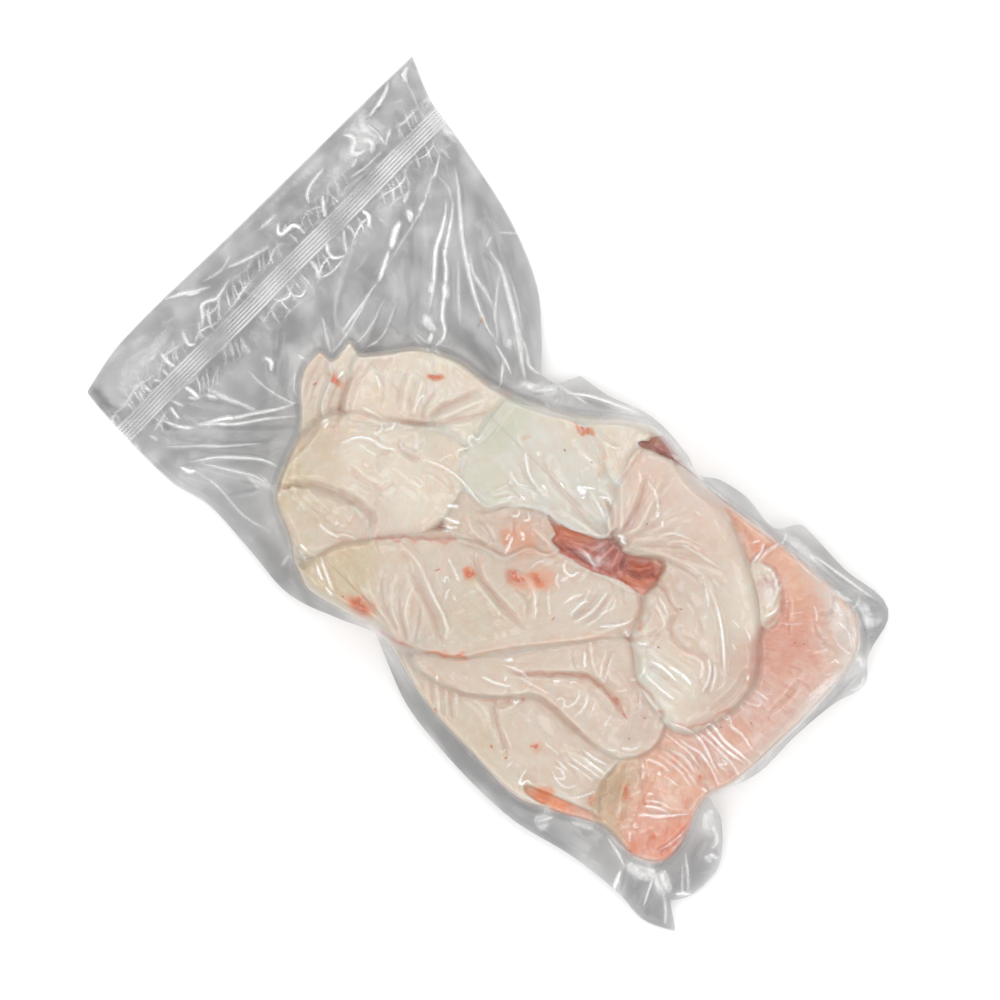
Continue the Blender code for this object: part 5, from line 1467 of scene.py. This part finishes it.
def film_cast(x, y):
    """How grey the loose film looks: darkest in the fins that lie on the table, and lightened as painted
    light next to the food's edge, where the food's shadow falls.
    """
    cast = 0.32 + 0.10 * ripple(x, y, 46, 3) + 0.05 * ripple(x, y, 15, 9)
    bent_x, bent_y = x + 3 * ripple(x, y, 24, 61), y + 3 * ripple(x, y, 24, 67)
    for patch in CAST_PATCHES:
        cast += patch.strength * patch_share(patch, bent_x, bent_y, 0.3, 1.3)
    facets = np.tanh(3 * ripple(bent_x, bent_y, 22, 71)) + 0.6 * np.tanh(4 * ripple(bent_x, bent_y, 10, 73))
    cast += 0.08 * facets * soft_step(-x, 112, 145)
    food_depth = np.minimum(FOOD_DEPTH(x, y), 0)
    # Painted light: less grey next to the food's edge, to lift the shadow that falls there.
    cast -= 0.22 * np.exp(-((food_depth + 2) / 6) ** 2)
    return np.clip(cast, 0, 1.4)


def film_milk_and_highlight(x, y, crest, bright):
    """How milky white the film is: doubled patches with painted sheen, whitened creases with painted
    highlights along the listed streaks, seal ribs, and a painted highlight along the food's rim.
    """
    bent_x, bent_y = x + 2.5 * ripple(x, y, 11, 61), y + 2.5 * ripple(x, y, 11, 67)
    food_depth = FOOD_DEPTH(x, y)
    patchy = np.clip(0.5 + ripple(x, y, 14, 5), 0, 1)
    # Painted highlight: a broken white line along the food's rim.
    milk = 0.22 * patchy * np.exp(-((food_depth + 0.6) / 0.7) ** 2)
    for patch in MILK_AND_SHEEN_PATCHES:
        milk = np.maximum(milk, patch.strength * patch_share(patch, bent_x, bent_y))
    loose = 1 - soft_step(food_depth, -1, 1)
    broken = np.clip(0.6 + 0.9 * ripple(x, y, 7, 29), 0, 1)
    # Partly real whitening and partly painted highlight on the film's sharp ridges.
    creases = soft_step(crest, 0.10, 0.45) * broken * (0.04 + 0.18 * loose)
    ribs = 0.55 * seal_ribs(x, y) * np.clip(0.5 + 0.8 * ripple(x, y, 26, 33), 0, 1) * loose
    # Painted highlights along the listed bright streaks, broken up by noise over the food.
    highlight_breakup = np.clip(0.92 + 0.3 * ripple(x, y, 5, 37) + 0.25 * ripple(x, y, 2.4, 41), 0.3, 1.05)
    highlight_breakup = np.maximum(highlight_breakup, 0.85 * loose)
    painted_highlight_streaks = bright * highlight_breakup * (0.85 + 0.15 * loose)
    # Painted highlights on the small sharp creases beside the seal.
    creases = np.maximum(creases, 0.7 * loose * crumpled_band(x, y))
    return np.clip(np.maximum(np.maximum(milk, painted_highlight_streaks), np.maximum(creases, ribs)), 0, 1)


def film_sheet(name, levels, marks, depth_at, low, high, step, material):
    """One sheet of the pouch, cut to an edge, with its greyness, partly painted shade, and its milkiness,
    partly painted highlight, kept on its points.
    """
    x, y, cells = cut_sheet(depth_at, low, high, step)
    points = np.stack([x, y, levels.at(x, y)], axis=1)
    piece = place_mesh(name, points, cells, material)
    loose = 1.0 if name != "film_over_food" else 0.0
    sharp, bright, shade_troughs = [level_map.at(x, y) for level_map in marks]
    # Painted shade: dark troughs and the hollow side of sharp creases make the loose film greyer.
    painted_trough_shade = 0.25 * soft_step(-sharp, 0.06, 0.5) + 0.7 * shade_troughs
    store_value(piece, "cast", loose * (film_cast(x, y) + painted_trough_shade))
    milk = film_milk_and_highlight(x, y, sharp, bright)
    store_value(piece, "milk", milk * (0.3 if name == "film_bottom" else 1))
    return piece


# Where the loose film is greyer, or clearer below zero, than elsewhere: strength, turn, place, half sizes.
CAST_PATCHES = read_rows(Patch, """
    .6 0  60,-124 110,9; .4 0  -30,-122 55,9; .35 15  130,-118 24,9; .45 -15  205,-112 24,12
    .28 0  200,-84 18,22; -.15 -45  -140,80 34,10; .35 0  -206,-126 15,5; .14 8  -152,8 10,30
    .12 30  -165,-26 8,18; .2 0  -176,-62 8,24; .25 -8  -78,38 22,6; .25 -50  -122,-1 10,6
    .08 0  -206,0 12,70; .2 0  -90,-124 40,8; .12 -18  -150,100 30,6; .28 0  60,82 90,6; .22 4  150,92 34,8
    .4 0  192,20 5,56; .1 0  -186.5,0 7,130; .8 0  178,85 16,14; .25 0  -60,-126 26,8; -.1 0  200,-108 14,8
""")

# Where the film is milky: partly doubled or hazy film, partly painted sheen.
MILK_AND_SHEEN_PATCHES = read_rows(Patch, """
    .2 30  176,86 8,9; .15 20  172,72 12,7; .4 -10  190,-97 15,5; .4 0  -180,112 12,5; .35 10  -208,76 11,17
    .25 0  -206,-104 13,22; .4 40  -46,46 12,4; .25 0  122,87 22,4; .45 15  42,2 8,2.2; .35 10  47,20 6,2.5
    .25 0  184,38 5,24; .35 -50  190,-54 9,6; .2 20  -110,-96 20,3; .3 20  126,-117 4,7
""")


class FilmOperator(bpy.types.Operator):
    """Makes the clear pouch: film over the food, the loose film round it and the sheet underneath"""

    bl_idname = "mesh.fatback_film"
    bl_label = "Clear film"

    def execute(self, context):
        look = context.scene.film_look
        upper, lower, crest, bright, shade_troughs = film_maps()
        marks = (crest, bright, shade_troughs)
        low, high = BAG_LOOP.min(axis=0), BAG_LOOP.max(axis=0)
        material = film_material("clear_film_upper", look)
        film_sheet("film_over_food", upper, marks, FOOD_DEPTH, FOOD_LOOP.min(axis=0),
                   FOOD_LOOP.max(axis=0), FILM_STEP, material)

        def loose_depth(x, y):
            return np.minimum(BAG_DEPTH(x, y), -FOOD_DEPTH(x, y))

        film_sheet("film_loose", upper, marks, loose_depth, low, high, LOOSE_STEP, material)
        flat = LevelMap()
        film_sheet("film_bottom", lower, (flat, flat, flat), BAG_DEPTH, low, high, UNDER_STEP, material)
        return {"FINISHED"}


# ---------------------------------------------------------------- the stage
FLOOR_HALF, FLOOR_LEVEL = 4.0, -0.0002
VIEW_CENTRE = (-14.76, -10.7)       # the point of the plan under the camera
VIEW_TURN = 45                      # degrees that the picture is turned
PANEL_REACH = 2.0                   # metres from the pack to each panel light
# Each panel's direction round the pack and from straight above, in degrees, and its size in metres.
PANELS = (
    (100, 34, (1.10, 0.46)), (48, 46, (0.46, 1.05)), (-5, 28, (1.05, 0.46)), (-55, 44, (1.10, 0.46)),
    (-105, 30, (0.46, 1.05)), (-150, 46, (1.05, 0.46)), (160, 30, (0.46, 1.05)),
)


def add_light(name, place, size, power, target=(0, 0, 0)):
    """A rectangular light that faces a target."""
    lamp = bpy.data.lights.new(name, "AREA")
    lamp.shape = "RECTANGLE"
    lamp.size, lamp.size_y = size
    lamp.energy = power
    light = bpy.data.objects.new(name, lamp)
    light.location = place
    light.rotation_euler = (Vector(target) - Vector(place)).to_track_quat("-Z", "Y").to_euler()
    bpy.context.scene.collection.objects.link(light)


class StageOperator(bpy.types.Operator):
    """Makes the pale floor, the soft light and the camera that looks straight down"""

    bl_idname = "scene.fatback_stage"
    bl_label = "Stage"

    def execute(self, context):
        look = context.scene.stage_look
        scene = context.scene
        mesh = bpy.data.meshes.new("floor")
        corners = [(-1, -1), (1, -1), (1, 1), (-1, 1)]
        mesh.from_pydata([(FLOOR_HALF * x, FLOOR_HALF * y, FLOOR_LEVEL) for x, y in corners], [],
                         [(0, 1, 2, 3)])
        recipe = Recipe("pale_floor")
        grain = recipe.noise(3, 3, 0.5)
        darker = solid_colour([0.98 * channel for channel in look.floor_colour])
        colour = recipe.blend(grain, solid_colour(look.floor_colour), darker)
        shader = recipe.add("ShaderNodeBsdfPrincipled", {
            "Base Color": colour, "Roughness": 0.9, "Specular IOR Level": 0.1})
        mesh.materials.append(recipe.finish(shader.outputs["BSDF"]))
        floor = bpy.data.objects.new("floor", mesh)
        scene.collection.objects.link(floor)

        world = bpy.data.worlds.new("soft_dome")
        scene.world = world
        world.use_nodes = True
        background = world.node_tree.nodes["Background"]
        background.inputs["Color"].default_value = (1, 1, 1, 1)
        background.inputs["Strength"].default_value = look.sky_strength

        for number, (turn, tilt, size) in enumerate(PANELS):
            turn, tilt = math.radians(turn), math.radians(tilt)
            place = (PANEL_REACH * math.sin(tilt) * math.cos(turn),
                     PANEL_REACH * math.sin(tilt) * math.sin(turn), PANEL_REACH * math.cos(tilt))
            add_light("panel_%d" % number, place, size, look.panel_power)

        lens = bpy.data.cameras.new("camera")
        lens.lens = lens.sensor_width * look.view_height / look.view_width
        lens.clip_end = 50
        camera = bpy.data.objects.new("camera", lens)
        centre = (np.array(VIEW_CENTRE) - MIDDLE) * MM
        camera.location = (centre[0], centre[1], look.view_height)
        camera.rotation_euler = (0, 0, math.radians(VIEW_TURN))
        scene.collection.objects.link(camera)
        scene.camera = camera
        scene.view_settings.view_transform = "Standard"
        return {"FINISHED"}


class FatbackPanel(bpy.types.Panel):
    """Shows the pack's settings and the buttons that make its pieces"""

    bl_idname = "VIEW3D_PT_fatback"
    bl_label = "Vacuum-packed fatback"
    bl_space_type = "VIEW_3D"
    bl_region_type = "UI"
    bl_category = "Fatback"

    def draw(self, context):
        for name in ("food_look", "film_look", "stage_look"):
            look = getattr(context.scene, name)
            box = self.layout.box()
            for setting in look.bl_rna.properties.keys():
                if setting not in ("rna_type", "name"):
                    box.prop(look, setting)
        for operator in OPERATORS:
            self.layout.operator(operator.bl_idname)


SETTINGS = {"food_look": FoodLook, "film_look": FilmLook, "stage_look": StageLook}
OPERATORS = (FatOperator, MarksOperator, FilmOperator, StageOperator)


def register():
    """Adds the settings, operators and panel."""
    for name, group in SETTINGS.items():
        bpy.utils.register_class(group)
        setattr(bpy.types.Scene, name, PointerProperty(type=group))
    for operator in OPERATORS:
        bpy.utils.register_class(operator)
    bpy.utils.register_class(FatbackPanel)


def unregister():
    """Takes them away again."""
    bpy.utils.unregister_class(FatbackPanel)
    for operator in reversed(OPERATORS):
        bpy.utils.unregister_class(operator)
    for name, group in SETTINGS.items():
        delattr(bpy.types.Scene, name)
        bpy.utils.unregister_class(group)


def main():
    """Registers the add-on and makes every piece and the stage."""
    register()
    bpy.ops.mesh.fatback_slabs()
    bpy.ops.mesh.fatback_marks()
    bpy.ops.mesh.fatback_film()
    bpy.ops.scene.fatback_stage()
    bpy.context.view_layer.update()


if __name__ == "__main__":
    main()
